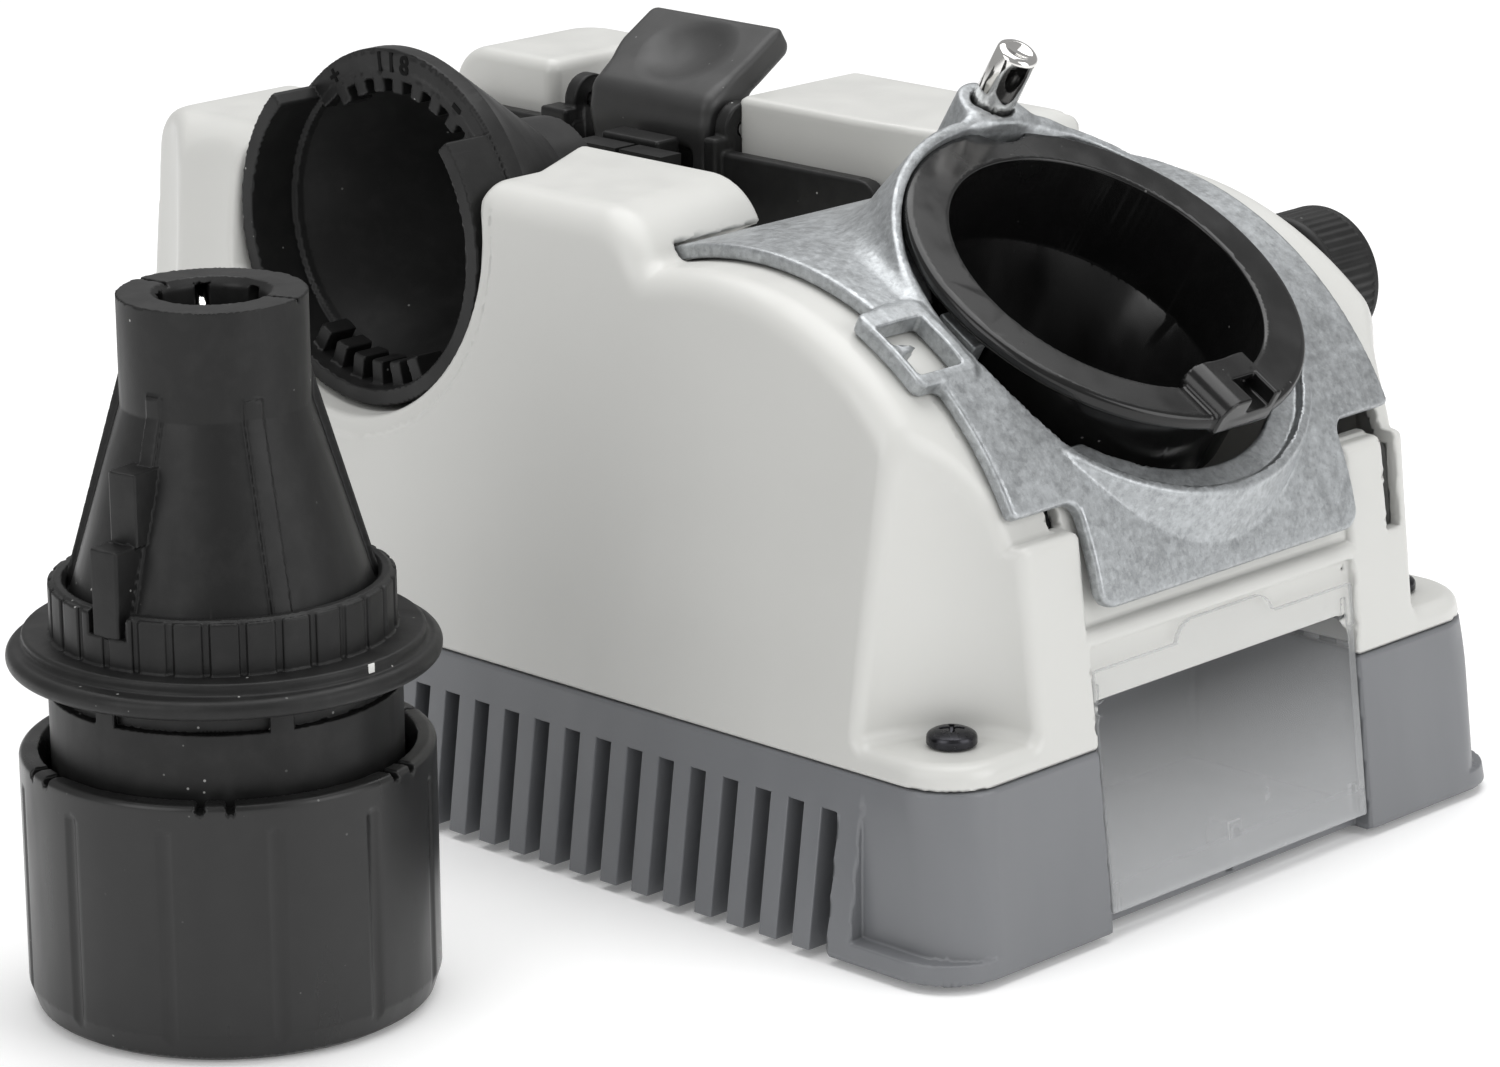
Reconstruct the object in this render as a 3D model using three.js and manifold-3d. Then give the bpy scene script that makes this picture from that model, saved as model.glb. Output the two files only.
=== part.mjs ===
// Bench drill bit sharpener: a two-part plastic housing with a side alignment port, a swinging
// angle plate that carries the sharpening tube, the motor and grinding wheel inside, and the
// loose drill chuck that stands beside it.
// Millimetres. +X runs towards the dust door, +Y away from the alignment port's mouth, +Z up.
// The machine frame used below has x = 0, y = 0 at the middle of the housing and z = 0 on the bench.

import * as THREE from 'three';
import { mergeVertices } from 'three/addons/utils/BufferGeometryUtils.js';
import Module from 'manifold-3d';

const wasm = await Module();
wasm.setup();

// ---------------------------------------------------------------- driving dimensions

const GAP = 0.3;                 // clearance between neighbouring pieces

const LENGTH = 256;              // housing, measured at the seam
const WIDTH = 161.4;
const SEAM_Z = 37.2;             // where the upper shell meets the base
const END_DRAFT = 0.12;          // inward lean of the end walls, per unit of height
const SIDE_DRAFT = 0.1355;       // inward lean of the side walls
const CORNER_R = 13;
const WALL = 3;
const FLOOR_Z = 1.5;             // underside of the base, above the rubber feet

const TOWER_Z = 130;             // flat tops of the towers
const DECK_Z = 119;              // top of the bracket between the towers
const CHANNEL_Z = 104;           // floor of the channel behind the front tower

const ARC = { x: 54.4, z: 50.2 };        // axis of the angle plate, at the drill's tip
const PLATE_R = 74.9;                    // outer face of the angle plate
const PLATE_T = 3;
const PLATE_HALF = 56.3;                 // half the plate's width
const ARCH_R = PLATE_R - PLATE_T - GAP;  // shell surface that the plate slides on
const TUBE_ANGLE = 58.7;                 // tube axis above the horizontal: half the point angle
const SWING = [-1.5, 11];                // travel of the plate in degrees, positive more upright
const SWINGS = [SWING[0], (SWING[0] + SWING[1]) / 2, SWING[1]];
const ORIGIN = { x: 0, z: 0 };
const TURN = 90 - TUBE_ANGLE;            // world angle + TURN = angle in the plate's own frame

const TUBE_R = 33;               // bore of the sharpening tube
const FLANGE_R = 42.2;
const FLANGE_AT = 78.6;          // flange face, from the arc centre along the tube's axis
const COLLAR_R = 41.3;           // cast collar round the tube
const COLLAR_BORE = 38.6;
const COLLAR_SHIFT = 2.7;        // collar centre lies down the slope from the tube's axis
const COLLAR_RIM = { z: 69.5, tip: 4.15 };   // rim height on the axis, and its lean in degrees
const PIN = { x: -45.9, y: 8.9, r: 4.3, top: 94.7, foot: 72 };

const PORT = { x: -44.4, z: 114.5, mouth: -68.7, r: 35.3, bore: 32 };
const TEETH = 32;                // indexing pitch round the port and the chuck
const TOOTH_TIP = 27;
const TOOTH_ROOT = 29.8;

const ARM = { y0: 36.2, y1: 40.4, foot: 24, pivot: 29 };   // arms that hold the tube's pivots

const LUG = { r: 52, angle: 64.2, y0: 52, y1: 55 };   // lock stud's place on the swinging plate

const MOTOR_Z = 28;              // shaft height, parallel to X
const WHEEL_R = 21.5;
const CAN_R = 22;
const SCREW_AT = { x: 115, y: 66.7 };
const CORNERS = [[1, -1], [1, 1], [-1, -1], [-1, 1]];
const FEET = [[112, 70], [112, -70], [-112, 70], [-112, -70]];
const LEDGE_Z = 42;

const RECESS = { floor: 5.4, x: 106, y: 50 };            // upright corner recesses over the base's lip
const BIN = { back: 80, half: 46, wall: 2, top: 35 };   // dust bin inside, behind the door

const DOOR_HALF = 39.5;          // half the width of the window in the end wall
const DOOR_TOP = 46;
const SLOT = { pitch: 8.58, width: 4, top: 28.75, right: 100, count: 22 };

const LEVER = { y: 27.5, z: 123, left: -73.5, right: -33 };

const CHUCK_AT = { x: 29.4, y: -169 };
const CHUCK = { top: 133.3, nose: 17.2, bore: 9.5, ring: 31.5, cam: 39.6, knob: 38, rim: 49.2 };

const deg = THREE.MathUtils.degToRad;

// ---------------------------------------------------------------- solids and booleans

// Turns a closed geometry into a boolean solid: only positions, shared corners merged.
function solid(geometry) {
  const bare = new THREE.BufferGeometry();
  bare.setAttribute('position', geometry.getAttribute('position').clone());
  if (geometry.index) bare.setIndex(geometry.index.clone());
  const welded = mergeVertices(bare, 1e-4);
  const index = welded.index.array;
  const corners = [];
  for (let i = 0; i < index.length; i += 3) {
    const [a, b, c] = [index[i], index[i + 1], index[i + 2]];
    if (a !== b && b !== c && c !== a) corners.push(a, b, c);
  }
  const points = welded.getAttribute('position');
  if (signedVolume(points, corners) < 0) {
    for (let i = 0; i < corners.length; i += 3) {
      [corners[i + 1], corners[i + 2]] = [corners[i + 2], corners[i + 1]];
    }
  }
  return new wasm.Manifold(new wasm.Mesh({
    numProp: 3,
    vertProperties: new Float32Array(points.array),
    triVerts: new Uint32Array(corners),
  }));
}

function signedVolume(points, corners) {
  const [a, b, c] = [new THREE.Vector3(), new THREE.Vector3(), new THREE.Vector3()];
  let volume = 0;
  for (let i = 0; i < corners.length; i += 3) {
    a.fromBufferAttribute(points, corners[i]);
    b.fromBufferAttribute(points, corners[i + 1]);
    c.fromBufferAttribute(points, corners[i + 2]);
    volume += a.dot(b.cross(c)) / 6;
  }
  return volume;
}

const join = (first, ...rest) => rest.reduce((whole, piece) => whole.add(piece), first);
const cut = (body, ...tools) => tools.reduce((left, tool) => left.subtract(tool), body);
const common = (first, ...rest) => rest.reduce((left, piece) => left.intersect(piece), first);

function box(x0, x1, y0, y1, z0, z1) {
  const geometry = new THREE.BoxGeometry(x1 - x0, y1 - y0, z1 - z0);
  return solid(geometry.translate((x0 + x1) / 2, (y0 + y1) / 2, (z0 + z1) / 2));
}

// Turned solid about Z at (x, y). The outline is a list of [radius, z] that closes on the axis,
// or closes on itself for a ring.
function turned(outline, segments = 32, x = 0, y = 0) {
  const points = outline.map(([r, z]) => new THREE.Vector2(r, z));
  const geometry = new THREE.LatheGeometry(points, segments);
  return solid(geometry.rotateX(Math.PI / 2).translate(x, y, 0));
}

const disc = (r, z0, z1, segments = 32, x = 0, y = 0) =>
  turned([[0, z0], [r, z0], [r, z1], [0, z1]], segments, x, y);

const ring = (r0, r1, z0, z1, segments = 32, x = 0, y = 0) =>
  turned([[r0, z0], [r1, z0], [r1, z1], [r0, z1], [r0, z0]], segments, x, y);

// Moves a solid by a three.js matrix.
const moved = (piece, matrix) => piece.transform(matrix.elements);
const shift = (piece, x, y, z) => moved(piece, new THREE.Matrix4().makeTranslation(x, y, z));

// Lays a solid that was turned about Z along +X or +Y, through (x, y, z).
function alongX(piece, x, y, z) {
  const turn = new THREE.Matrix4().makeRotationY(Math.PI / 2);
  return moved(piece, new THREE.Matrix4().makeTranslation(x, y, z).multiply(turn));
}

function alongY(piece, x, y, z) {
  const turn = new THREE.Matrix4().makeRotationX(-Math.PI / 2);
  return moved(piece, new THREE.Matrix4().makeTranslation(x, y, z).multiply(turn));
}

// Frame of the angle plate: origin at the arc centre, +Z up the tube's axis, +X down the slope.
const swingTilt = (angle) => deg(90 - angle);
function tilted(piece, angle = TUBE_ANGLE) {
  const turn = new THREE.Matrix4().makeRotationY(swingTilt(angle));
  return moved(piece, new THREE.Matrix4().makeTranslation(ARC.x, 0, ARC.z).multiply(turn));
}

// Flat outline in X and Z, pushed from y0 to y1.
function slabXZ(outline, y0, y1, curveSegments = 8) {
  const shape = outline instanceof THREE.Shape
    ? outline : new THREE.Shape(outline.map(([x, z]) => new THREE.Vector2(x, z)));
  const geometry = new THREE.ExtrudeGeometry(shape, { depth: y1 - y0, bevelEnabled: false, curveSegments });
  return solid(geometry.rotateX(Math.PI / 2).translate(0, y1, 0));
}

// Flat outline in X and Y, pushed from z0 to z1.
function slabXY(outline, z0, z1, curveSegments = 8) {
  const shape = outline instanceof THREE.Shape
    ? outline : new THREE.Shape(outline.map(([x, y]) => new THREE.Vector2(x, y)));
  const geometry = new THREE.ExtrudeGeometry(shape, { depth: z1 - z0, bevelEnabled: false, curveSegments });
  return solid(geometry.translate(0, 0, z0));
}

function roundedRectangle(width, height, radius) {
  const [w, h, r] = [width / 2, height / 2, radius];
  const shape = new THREE.Shape();
  shape.moveTo(-w + r, -h);
  shape.lineTo(w - r, -h);
  shape.absarc(w - r, -h + r, r, -Math.PI / 2, 0);
  shape.lineTo(w, h - r);
  shape.absarc(w - r, h - r, r, 0, Math.PI / 2);
  shape.lineTo(-w + r, h);
  shape.absarc(-w + r, h - r, r, Math.PI / 2, Math.PI);
  shape.lineTo(-w, -h + r);
  shape.absarc(-w + r, -h + r, r, Math.PI, 1.5 * Math.PI);
  return shape;
}

// Band of a circle in the XZ plane about a centre, between two angles, as a slab along Y.
function arcBand(r0, r1, from, to, y0, y1, segments, centre = ARC) {
  const shape = new THREE.Shape();
  shape.absarc(centre.x, centre.z, r1, deg(from), deg(to), false);
  shape.absarc(centre.x, centre.z, r0, deg(to), deg(from), true);
  return slabXZ(shape, y0, y1, segments);
}

// Solid inside a radius about a centre, between two angles, as a slab along Y.
function arcCore(radius, from, to, y0, y1, segments, centre = ARC) {
  const shape = new THREE.Shape();
  shape.moveTo(centre.x, centre.z);
  shape.absarc(centre.x, centre.z, radius, deg(from), deg(to), false);
  return slabXZ(shape, y0, y1, segments);
}

// The drafted housing block between two heights. Its walls lean by the drafts; inset moves them in.
function hull(inset, z0, z1, sideDraft = SIDE_DRAFT) {
  const shape = roundedRectangle(LENGTH - 2 * inset, WIDTH - 2 * inset, Math.max(CORNER_R - inset, 3));
  const geometry = new THREE.ExtrudeGeometry(shape,
    { depth: z1 - z0, bevelEnabled: false, curveSegments: 5 });
  geometry.translate(0, 0, z0);
  const points = geometry.getAttribute('position');
  for (let i = 0; i < points.count; i += 1) {
    const drop = SEAM_Z - points.getZ(i);
    points.setX(i, points.getX(i) + Math.sign(points.getX(i)) * END_DRAFT * drop);
    points.setY(i, points.getY(i) + Math.sign(points.getY(i)) * sideDraft * drop);
  }
  return solid(geometry);
}


// ---------------------------------------------------------------- colours and the scene graph

function finish(color, roughness, metalness = 0) {
  return new THREE.MeshStandardMaterial({ color, roughness, metalness });
}

const COLOURS = {
  shell: () => finish(0xd9d9d4, 0.45),
  base: () => finish(0x7b7d80, 0.5),
  black: () => finish(0x2b2b2c, 0.6),
  glossBlack: () => finish(0x151515, 0.3),
  zinc: () => finish(0xa9afb4, 0.45, 0.8),
  chrome: () => finish(0xdddddd, 0.12, 1),
  steel: () => finish(0x9a9a9a, 0.35, 1),
  clear: () => new THREE.MeshStandardMaterial(
    { color: 0xc8ccd0, roughness: 0.1, transparent: true, opacity: 0.35 }),
  rubber: () => finish(0x1c1c1c, 0.9),
  grit: () => finish(0x8b8578, 0.95),
  brass: () => finish(0xb08a45, 0.4, 0.9),
  board: () => finish(0x2f5a38, 0.6),
  copper: () => finish(0xa8683a, 0.45, 0.9),
};

const object = new THREE.Group();

function addPiece(name, piece, colour, parent = object) {
  const { vertProperties, triVerts, numProp } = piece.getMesh();
  const positions = new Float32Array((vertProperties.length / numProp) * 3);
  for (let i = 0; i < positions.length / 3; i += 1) {
    for (let k = 0; k < 3; k += 1) positions[3 * i + k] = vertProperties[numProp * i + k];
  }
  const geometry = new THREE.BufferGeometry();
  geometry.setAttribute('position', new THREE.BufferAttribute(positions, 3));
  geometry.setIndex(new THREE.BufferAttribute(new Uint32Array(triVerts), 1));
  geometry.computeVertexNormals();
  const mesh = new THREE.Mesh(geometry, COLOURS[colour]());
  mesh.name = name;
  parent.add(mesh);
  return mesh;
}

// ---------------------------------------------------------------- base tray

// Box between two heights over one corner of the housing, mirrored by the signs.
function cornerBox([sx, sy], x0, x1, y0, y1, z0, z1) {
  return box(Math.min(sx * x0, sx * x1), Math.max(sx * x0, sx * x1),
    Math.min(sy * y0, sy * y1), Math.max(sy * y0, sy * y1), z0, z1);
}

// Foot that flares out round each corner of the base.
const cornerRecess = (corner) => cut(
  cornerBox(corner, RECESS.x, 150, RECESS.y, 100, RECESS.floor, SEAM_Z + 1),
  hull(0, 0, SEAM_Z + 2, 0));

function louvres() {
  const slots = [];
  for (let i = 0; i < SLOT.count; i += 1) {
    const right = SLOT.right - i * SLOT.pitch;
    slots.push(box(right - SLOT.width, right, -WIDTH / 2 - 12, -WIDTH / 2 - 0.5 + WALL, 0, SLOT.top));
    slots.push(box(right - SLOT.width, right, WIDTH / 2 + 0.5 - WALL, WIDTH / 2 + 12, 0, SLOT.top));
  }
  return slots;
}

function baseTray() {
  const outside = cut(hull(0, FLOOR_Z, SEAM_Z - GAP / 2), ...CORNERS.map(cornerRecess));
  const inside = hull(WALL, FLOOR_Z + WALL, SEAM_Z + 5, 0);
  const window = box(118, 140, -DOOR_HALF, DOOR_HALF, FLOOR_Z + WALL, SEAM_Z + 5);
  const posts = CORNERS.map(([sx, sy]) =>
    ring(1.6, 5, FLOOR_Z + 1, SEAM_Z - GAP, 16, sx * SCREW_AT.x, sy * SCREW_AT.y));
  const cradles = [-70, -20].map((x) => box(x - 3, x + 3, -20, 20, FLOOR_Z + 1, 16));
  const bin = cut(
    box(BIN.back, 122, -BIN.half, BIN.half, FLOOR_Z + 1, BIN.top),
    box(BIN.back + BIN.wall, 140, -BIN.half + BIN.wall, BIN.half - BIN.wall, 0, BIN.top + 1));
  const tray = join(cut(outside, inside, window, ...louvres()), bin, ...posts, ...cradles,
    box(126.5, 129.5, -1.3, 1.3, FLOOR_Z + 2, 12.5));
  const feet = FEET.map(([x, y]) => disc(7.3, 0, FLOOR_Z + 1.2, 16, x, y));
  const motorBed = alongX(disc(CAN_R + GAP, -80, 0, 32), 0, 0, MOTOR_Z);
  const rear = [box(-140, -120, -15.5, 15.5, 12.5, 27.5), alongX(disc(6.3, -140, -120, 20), 0, 45, 20)];
  return cut(tray, ...feet, motorBed, ...rear);
}

// ---------------------------------------------------------------- upper shell

// What the hull keeps, seen from the side: the tower block on the left and the arch on the right.
function skyline() {
  const towers = new THREE.Shape();
  towers.moveTo(-150, 30);
  towers.lineTo(31, 30);
  towers.lineTo(31, TOWER_Z - 14);
  towers.absarc(17, TOWER_Z - 14, 14, 0, Math.PI / 2, false);
  towers.lineTo(-150, TOWER_Z);
  return join(
    slabXZ(towers, -100, 100, 8),
    arcCore(ARCH_R, -20, 180, -100, 100, 30),
    box(ARC.x, 150, -100, 100, 30, 60),
    box(ARC.x, 150, -100, -DOOR_HALF - 0.2, 59, 79),
    box(ARC.x, 150, DOOR_HALF + 0.2, 100, 59, 79));
}

// Open channel that holds the port: a cone that narrows towards the back, open at the top.
function portCradle(extra) {
  const [front, back] = [-95, -26];
  const [wide, narrow] = [PORT.r + 1.2 + extra, 24.5 + extra];
  const shoulder = PORT.mouth + 17;
  const cone = alongY(turned([[0, front], [wide, front], [wide, shoulder], [narrow, back],
    [narrow, 20], [0, 20]], 32), PORT.x, 0, PORT.z);
  const sides = slabXY([[PORT.x - wide, front], [PORT.x + wide, front],
    [PORT.x + wide, shoulder], [PORT.x + narrow, back], [PORT.x + narrow, 20],
    [PORT.x - narrow, 20], [PORT.x - narrow, back], [PORT.x - wide, shoulder]], PORT.z, 150);
  return join(cone, sides);
}

// Concave corner round each screw ledge.
function cornerScoop([sx, sy]) {
  const [x, y] = [sx * LENGTH / 2, sy * WIDTH / 2];
  return turned([[0, LEDGE_Z], [25, LEDGE_Z], [24, 150], [0, 150]], 32, x, y);
}

function upperShell() {
  const bottom = SEAM_Z + GAP / 2;
  const block = common(hull(0, bottom, TOWER_Z), skyline());
  const channel = join(
    box(-22, 29, -27.2, 24.5, CHANNEL_Z, 150),
    box(28, 34, -27.2, 24.5, 118.7, 150),
    box(-120, -20, -20, 24.5, CHANNEL_Z, 150),
    box(-77, -30, 24, 60, CHANNEL_Z, 150),
    box(-84, -28, 24, 36, CHANNEL_Z, 150));
  const leftGap = box(-150, -86, -24, 25.5, DECK_Z - 7, 150);
  const backNotch = slabXY([[12.5, 24], [12.5, 24.6], [36, 28.4], [36, 24]], CHANNEL_Z, 150);
  const plateSlot = arcBand(ARCH_R, PLATE_R + 0.5, 80, 120, -PLATE_HALF - 0.5, PLATE_HALF + 0.5, 12);
  const outside = cut(block, portCradle(0), channel, leftGap, backNotch, plateSlot,
    ...CORNERS.map(cornerScoop));

  const lower = common(
    hull(WALL, 20, TOWER_Z),
    join(box(-150, 34.5, -100, 100, 20, CHANNEL_Z - WALL),
      box(20, 124.5, -100, 100, 20, 56),
      common(arcCore(ARCH_R - WALL, -10, 120, -100, 100, 20), box(34, 150, -100, 100, 20, 150))));
  const towerHollow = join(
    box(-2, 22, -62, -31, 60, TOWER_Z - 4),
    box(-25, 8, 30, 61, 60, TOWER_Z - 4),
    box(8, 25, 46, 61, 60, TOWER_Z - 9),
    box(-110, -92, 31, 61, 60, TOWER_Z - 4),
    box(-110, -88, -62, -29, 60, TOWER_Z - 4));
  const hollow = cut(join(lower, towerHollow), portCradle(WALL),
    ...CORNERS.map(([sx, sy]) =>
      disc(25 + WALL, LEDGE_Z - WALL, 150, 24, sx * LENGTH / 2, sy * WIDTH / 2)));

  const tubeWay = SWINGS.map((turn) => tilted(disc(41.6, 10, 90, 28), TUBE_ANGLE + turn));
  const window = box(100, 140, -DOOR_HALF, DOOR_HALF, 20, DOOR_TOP);
  const strip = wallLean(
    box(LENGTH / 2 - 1.9, 150, -DOOR_HALF - 0.1, DOOR_HALF + 0.1, DOOR_TOP - 3, 56.5), 1);
  const screws = CORNERS.map(([sx, sy]) => disc(2.4, 20, 60, 12, sx * SCREW_AT.x, sy * SCREW_AT.y));
  const lugSlot = arcBand(40, 80, 55, 83, LUG.y0 - 0.6, LUG.y1 + 0.6, 12);
  const studSlot = arcBand(LUG.r - 3.2, LUG.r + 3.2, 58, 80, 58, 90, 8);
  const dustSlots = [box(104, 130, -43.6, -40.6, 80, 87), box(104, 130, 42, 52, 79.6, 87)];
  return cut(outside, hollow, ...tubeWay, window, strip, ...screws, lugSlot, studSlot, ...dustSlots);
}

// ---------------------------------------------------------------- alignment port

function alignmentPort() {
  const step = -57.7;              // marked face, set back behind the shroud
  const body = alongY(turned([
    [PORT.bore, PORT.mouth], [PORT.r, PORT.mouth], [PORT.r, step], [36, step], [36, step + 4],
    [16, -24], [15.5, 4], [12.5, 4], [12.5, -24], [TOOTH_ROOT, -50], [TOOTH_ROOT, -59.5],
    [PORT.bore, -60.5], [PORT.bore, PORT.mouth],
  ], 36), PORT.x, 0, PORT.z);
  const away = arcBand(TOOTH_ROOT - 1, 40, 40, 134, PORT.mouth - 1, step, 10, PORT);
  const pitch = 360 / TEETH;
  const teeth = [];
  for (let i = 0; i < 8; i += 1) teeth.push(portTooth(43 + i * pitch, step, step + 6));
  for (let i = 0; i < 6; i += 1) teeth.push(portTooth(-122 + i * pitch, -65, -58));
  return join(cut(body, away), ...teeth);
}

function portTooth(angle, y0, y1) {
  const tooth = box(TOOTH_TIP, PORT.bore + 1, -1.5, 1.5, y0, y1);
  const turn = new THREE.Matrix4().makeRotationZ(-deg(angle));
  return alongY(moved(tooth, turn), PORT.x, 0, PORT.z);
}

// ---------------------------------------------------------------- thumb lever and pawls

function leverBracket() {
  const floor = CHANNEL_Z + GAP;
  const ear = (x) => join(
    alongX(disc(5.6, x - 1.8, x + 1.8, 20), 0, LEVER.y, LEVER.z),
    box(x - 1.8, x + 1.8, LEVER.y - 5, LEVER.y + 5, floor, LEVER.z));
  const body = join(
    box(-112, 16, 20.5, 24.2, floor, DECK_Z),
    box(-83, -28.6, 4.6, 35.5, floor, floor + 3.7),
    box(LEVER.left - 8.5, LEVER.left - 0.5, LEVER.y - 9, LEVER.y - 3, floor, DECK_Z + 3),
    box(LEVER.right + 0.5, LEVER.right + 4.2, LEVER.y - 9, LEVER.y - 3, floor, DECK_Z + 3),
    box(-58, -37, 14, 18.5, floor, 120.6),
    ear(LEVER.left - 2.6), ear(LEVER.right + 2.4));
  return cut(body,
    box(LEVER.left - 0.4, LEVER.right + 0.4, 18.6, 40, floor + 4, 150),
    alongX(disc(1.8, -90, -20, 12), 0, LEVER.y, LEVER.z),
    alongY(disc(14, -10, 12, 24), PORT.x, 0, PORT.z));
}

function thumbLever() {
  const hub = alongX(disc(6, LEVER.left, LEVER.right, 24), 0, LEVER.y, LEVER.z);
  const pad = slabXY(roundedRectangle(LEVER.right - LEVER.left, 28, 5), -2.6, 2.6, 4);
  const middle = (LEVER.left + LEVER.right) / 2;
  const lean = new THREE.Matrix4().makeTranslation(middle, LEVER.y + 11, LEVER.z + 8.4)
    .multiply(new THREE.Matrix4().makeRotationX(deg(32)));
  const dish = new THREE.SphereGeometry(34, 32, 24);
  dish.translate((LEVER.left + LEVER.right) / 2, LEVER.y - 4, LEVER.z + 46);
  const tail = box(LEVER.left + 8, LEVER.right - 8, LEVER.y - 1, LEVER.y + 4, LEVER.z - 12, LEVER.z);
  const whole = join(hub, moved(pad, lean), tail);
  return cut(whole, solid(dish), alongX(disc(1.8, -90, -20, 12), 0, LEVER.y, LEVER.z));
}

// A pawl that grips the drill from one side; side is -1 or +1.
function pawl(side) {
  const [tip, heel] = [PORT.x + side * 0.6, PORT.x + side * 13];
  const plate = box(Math.min(tip, heel), Math.max(tip, heel), 5, 11, CHANNEL_Z + 4.6, CHANNEL_Z + 16);
  const notch = new THREE.Matrix4().makeTranslation(PORT.x, 8, PORT.z)
    .multiply(new THREE.Matrix4().makeRotationY(Math.PI / 4));
  return cut(plate, moved(box(-3, 3, -5, 5, -3, 3), notch));
}

// ---------------------------------------------------------------- angle plate and its fittings

// Joins the flat cast plate, the collar, the pin boss, the scale window and the inside arms.
function anglePlate() {
  const inner = PLATE_R - PLATE_T;
  const [top, ear, tongue] = [104 + TURN, 27.2 + TURN, 10.8 + TURN];
  const sheet = join(
    arcBand(inner, PLATE_R, ear, top, -PLATE_HALF, PLATE_HALF, 18, ORIGIN),
    arcBand(inner, PLATE_R, tongue, ear + 3, -38.7, 38.7, 6, ORIGIN));
  const [low, high] = [49.5 + TURN, 65 + TURN];
  const windowBoss = arcBand(inner, PLATE_R + 0.8, low, high, -PLATE_HALF - 6, -46, 6, ORIGIN);
  const collar = cut(
    disc(COLLAR_R, 40, 90, 36, COLLAR_SHIFT),
    moved(box(-90, 90, -90, 90, 0, 60), new THREE.Matrix4().makeTranslation(0, 0, COLLAR_RIM.z)
      .multiply(new THREE.Matrix4().makeRotationY(deg(COLLAR_RIM.tip)))));
  const boss = join(
    disc(7.2, 40, PIN.top - 13.7, 20, PIN.x, PIN.y),
    slabXY([[PIN.x - 3, PIN.y - 7], [PIN.x + 14, PIN.y - 16], [PIN.x + 14, PIN.y + 14],
      [PIN.x - 3, PIN.y + 7]], 40, 73));
  const core = arcCore(inner, 0, 180, -100, 100, 42, ORIGIN);
  const proud = cut(join(collar, boss), core);
  const lug = arcBand(LUG.r - 6, inner + 1, LUG.angle + TURN - 4.5, LUG.angle + TURN + 4.5,
    LUG.y0, LUG.y1, 3, ORIGIN);
  const cast = cut(join(sheet, proud, windowBoss),
    disc(COLLAR_BORE, 20, 100, 36, COLLAR_SHIFT),
    arcBand(60, 90, 51.6 + TURN, 61.3 + TURN, -PLATE_HALF - 4.6, -PLATE_HALF + 7.2, 4, ORIGIN),
    disc(PIN.r + 0.05, PIN.foot - 0.5, 100, 20, PIN.x, PIN.y));
  const arms = [-1, 1].map((side) => box(-5, 5,
    Math.min(side * ARM.y0, side * ARM.y1), Math.max(side * ARM.y0, side * ARM.y1), ARM.foot, 74));
  const stud = alongY(disc(2.6, 40, 70, 14), LUG.r * Math.cos(deg(LUG.angle + TURN)), 0,
    LUG.r * Math.sin(deg(LUG.angle + TURN)));
  const pivot = alongY(disc(2.3, -50, 50, 12), 0, 0, ARM.pivot);
  return cut(join(cast, lug, ...arms), stud, pivot);
}

function sharpeningTube() {
  const body = turned([
    [TUBE_R, FLANGE_AT], [FLANGE_R, FLANGE_AT], [FLANGE_R, FLANGE_AT - 3], [35.5, FLANGE_AT - 3],
    [35.5, 55], [24, 30], [23.4, 22], [19.5, 22], [19.5, 32], [TUBE_R, 58], [TUBE_R, FLANGE_AT],
  ], 36);
  const bosses = [-1, 1].map((side) => cut(
    alongY(
      disc(4.6, Math.min(side * 21, side * 35.6), Math.max(side * 21, side * 35.6), 16),
      0, 0, ARM.pivot,
    ),
    disc(20.5, 0, 60, 32)));
  const clip = cut(
    box(TUBE_R - 3.5, 45, -8, 7, FLANGE_AT - 4, FLANGE_AT + 4.5),
    box(TUBE_R + 1.5, 46, -4.5, 3.5, FLANGE_AT + 0.8, FLANGE_AT + 8),
    box(FLANGE_R + 0.2, 46, -9, 8, FLANGE_AT - 6, FLANGE_AT - 3),
    disc(TUBE_R - 2.5, 0, 100, 40));
  return cut(join(body, ...bosses, clip),
    disc(8.4, 60, 100, 24, PIN.x, PIN.y),
    alongY(disc(2.3, -50, 50, 12), 0, 0, ARM.pivot));
}

function lockKnob() {
  const face = 75.6;
  const teeth = 20;
  const outline = new THREE.Shape();
  for (let i = 0; i < teeth * 2; i += 1) {
    const angle = (Math.PI * i) / teeth;
    const r = i % 2 ? 14.6 : 15;
    if (i === 0) outline.moveTo(r, 0);
    else outline.lineTo(r * Math.cos(angle), r * Math.sin(angle));
  }
  const grip = slabXY(outline, face, face + 15.5);
  return cut(grip, disc(2.5, face - 1, face + 9, 14), ring(5.5, 12, face + 11.5, face + 20, 24));
}

// ---------------------------------------------------------------- motor and wheel

const onShaft = (piece) => alongX(piece, 0, 0, MOTOR_Z);

function fan() {
  const blades = [];
  for (let i = 0; i < 7; i += 1) {
    const turn = new THREE.Matrix4().makeRotationZ(deg(360 / 7 * i));
    blades.push(moved(box(5, 19, -0.8, 0.8, -3.5, 6), turn));
  }
  return onShaft(cut(join(disc(7, -4, 7, 20), ring(6, 19, -4, -2.6, 20), ...blades), disc(3.3, -6, 9, 16)));
}

function motorStrap() {
  const [x0, x1] = [-50, -42];
  const [inner, outer] = [CAN_R + GAP, CAN_R + 2.3];
  const hoop = join(
    onShaft(ring(inner, outer, x0, x1, 28)),
    box(x0, x1, -outer - 8, outer + 8, 4.8, 6.8),
    box(x0, x1, -outer, -inner + 0.1, 5, MOTOR_Z), box(x0, x1, inner - 0.1, outer, 5, MOTOR_Z));
  return cut(hoop, onShaft(disc(inner, x0 - 1, x1 + 1, 36)), box(x0 - 1, x1 + 1, -inner, inner, 0, MOTOR_Z));
}

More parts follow.
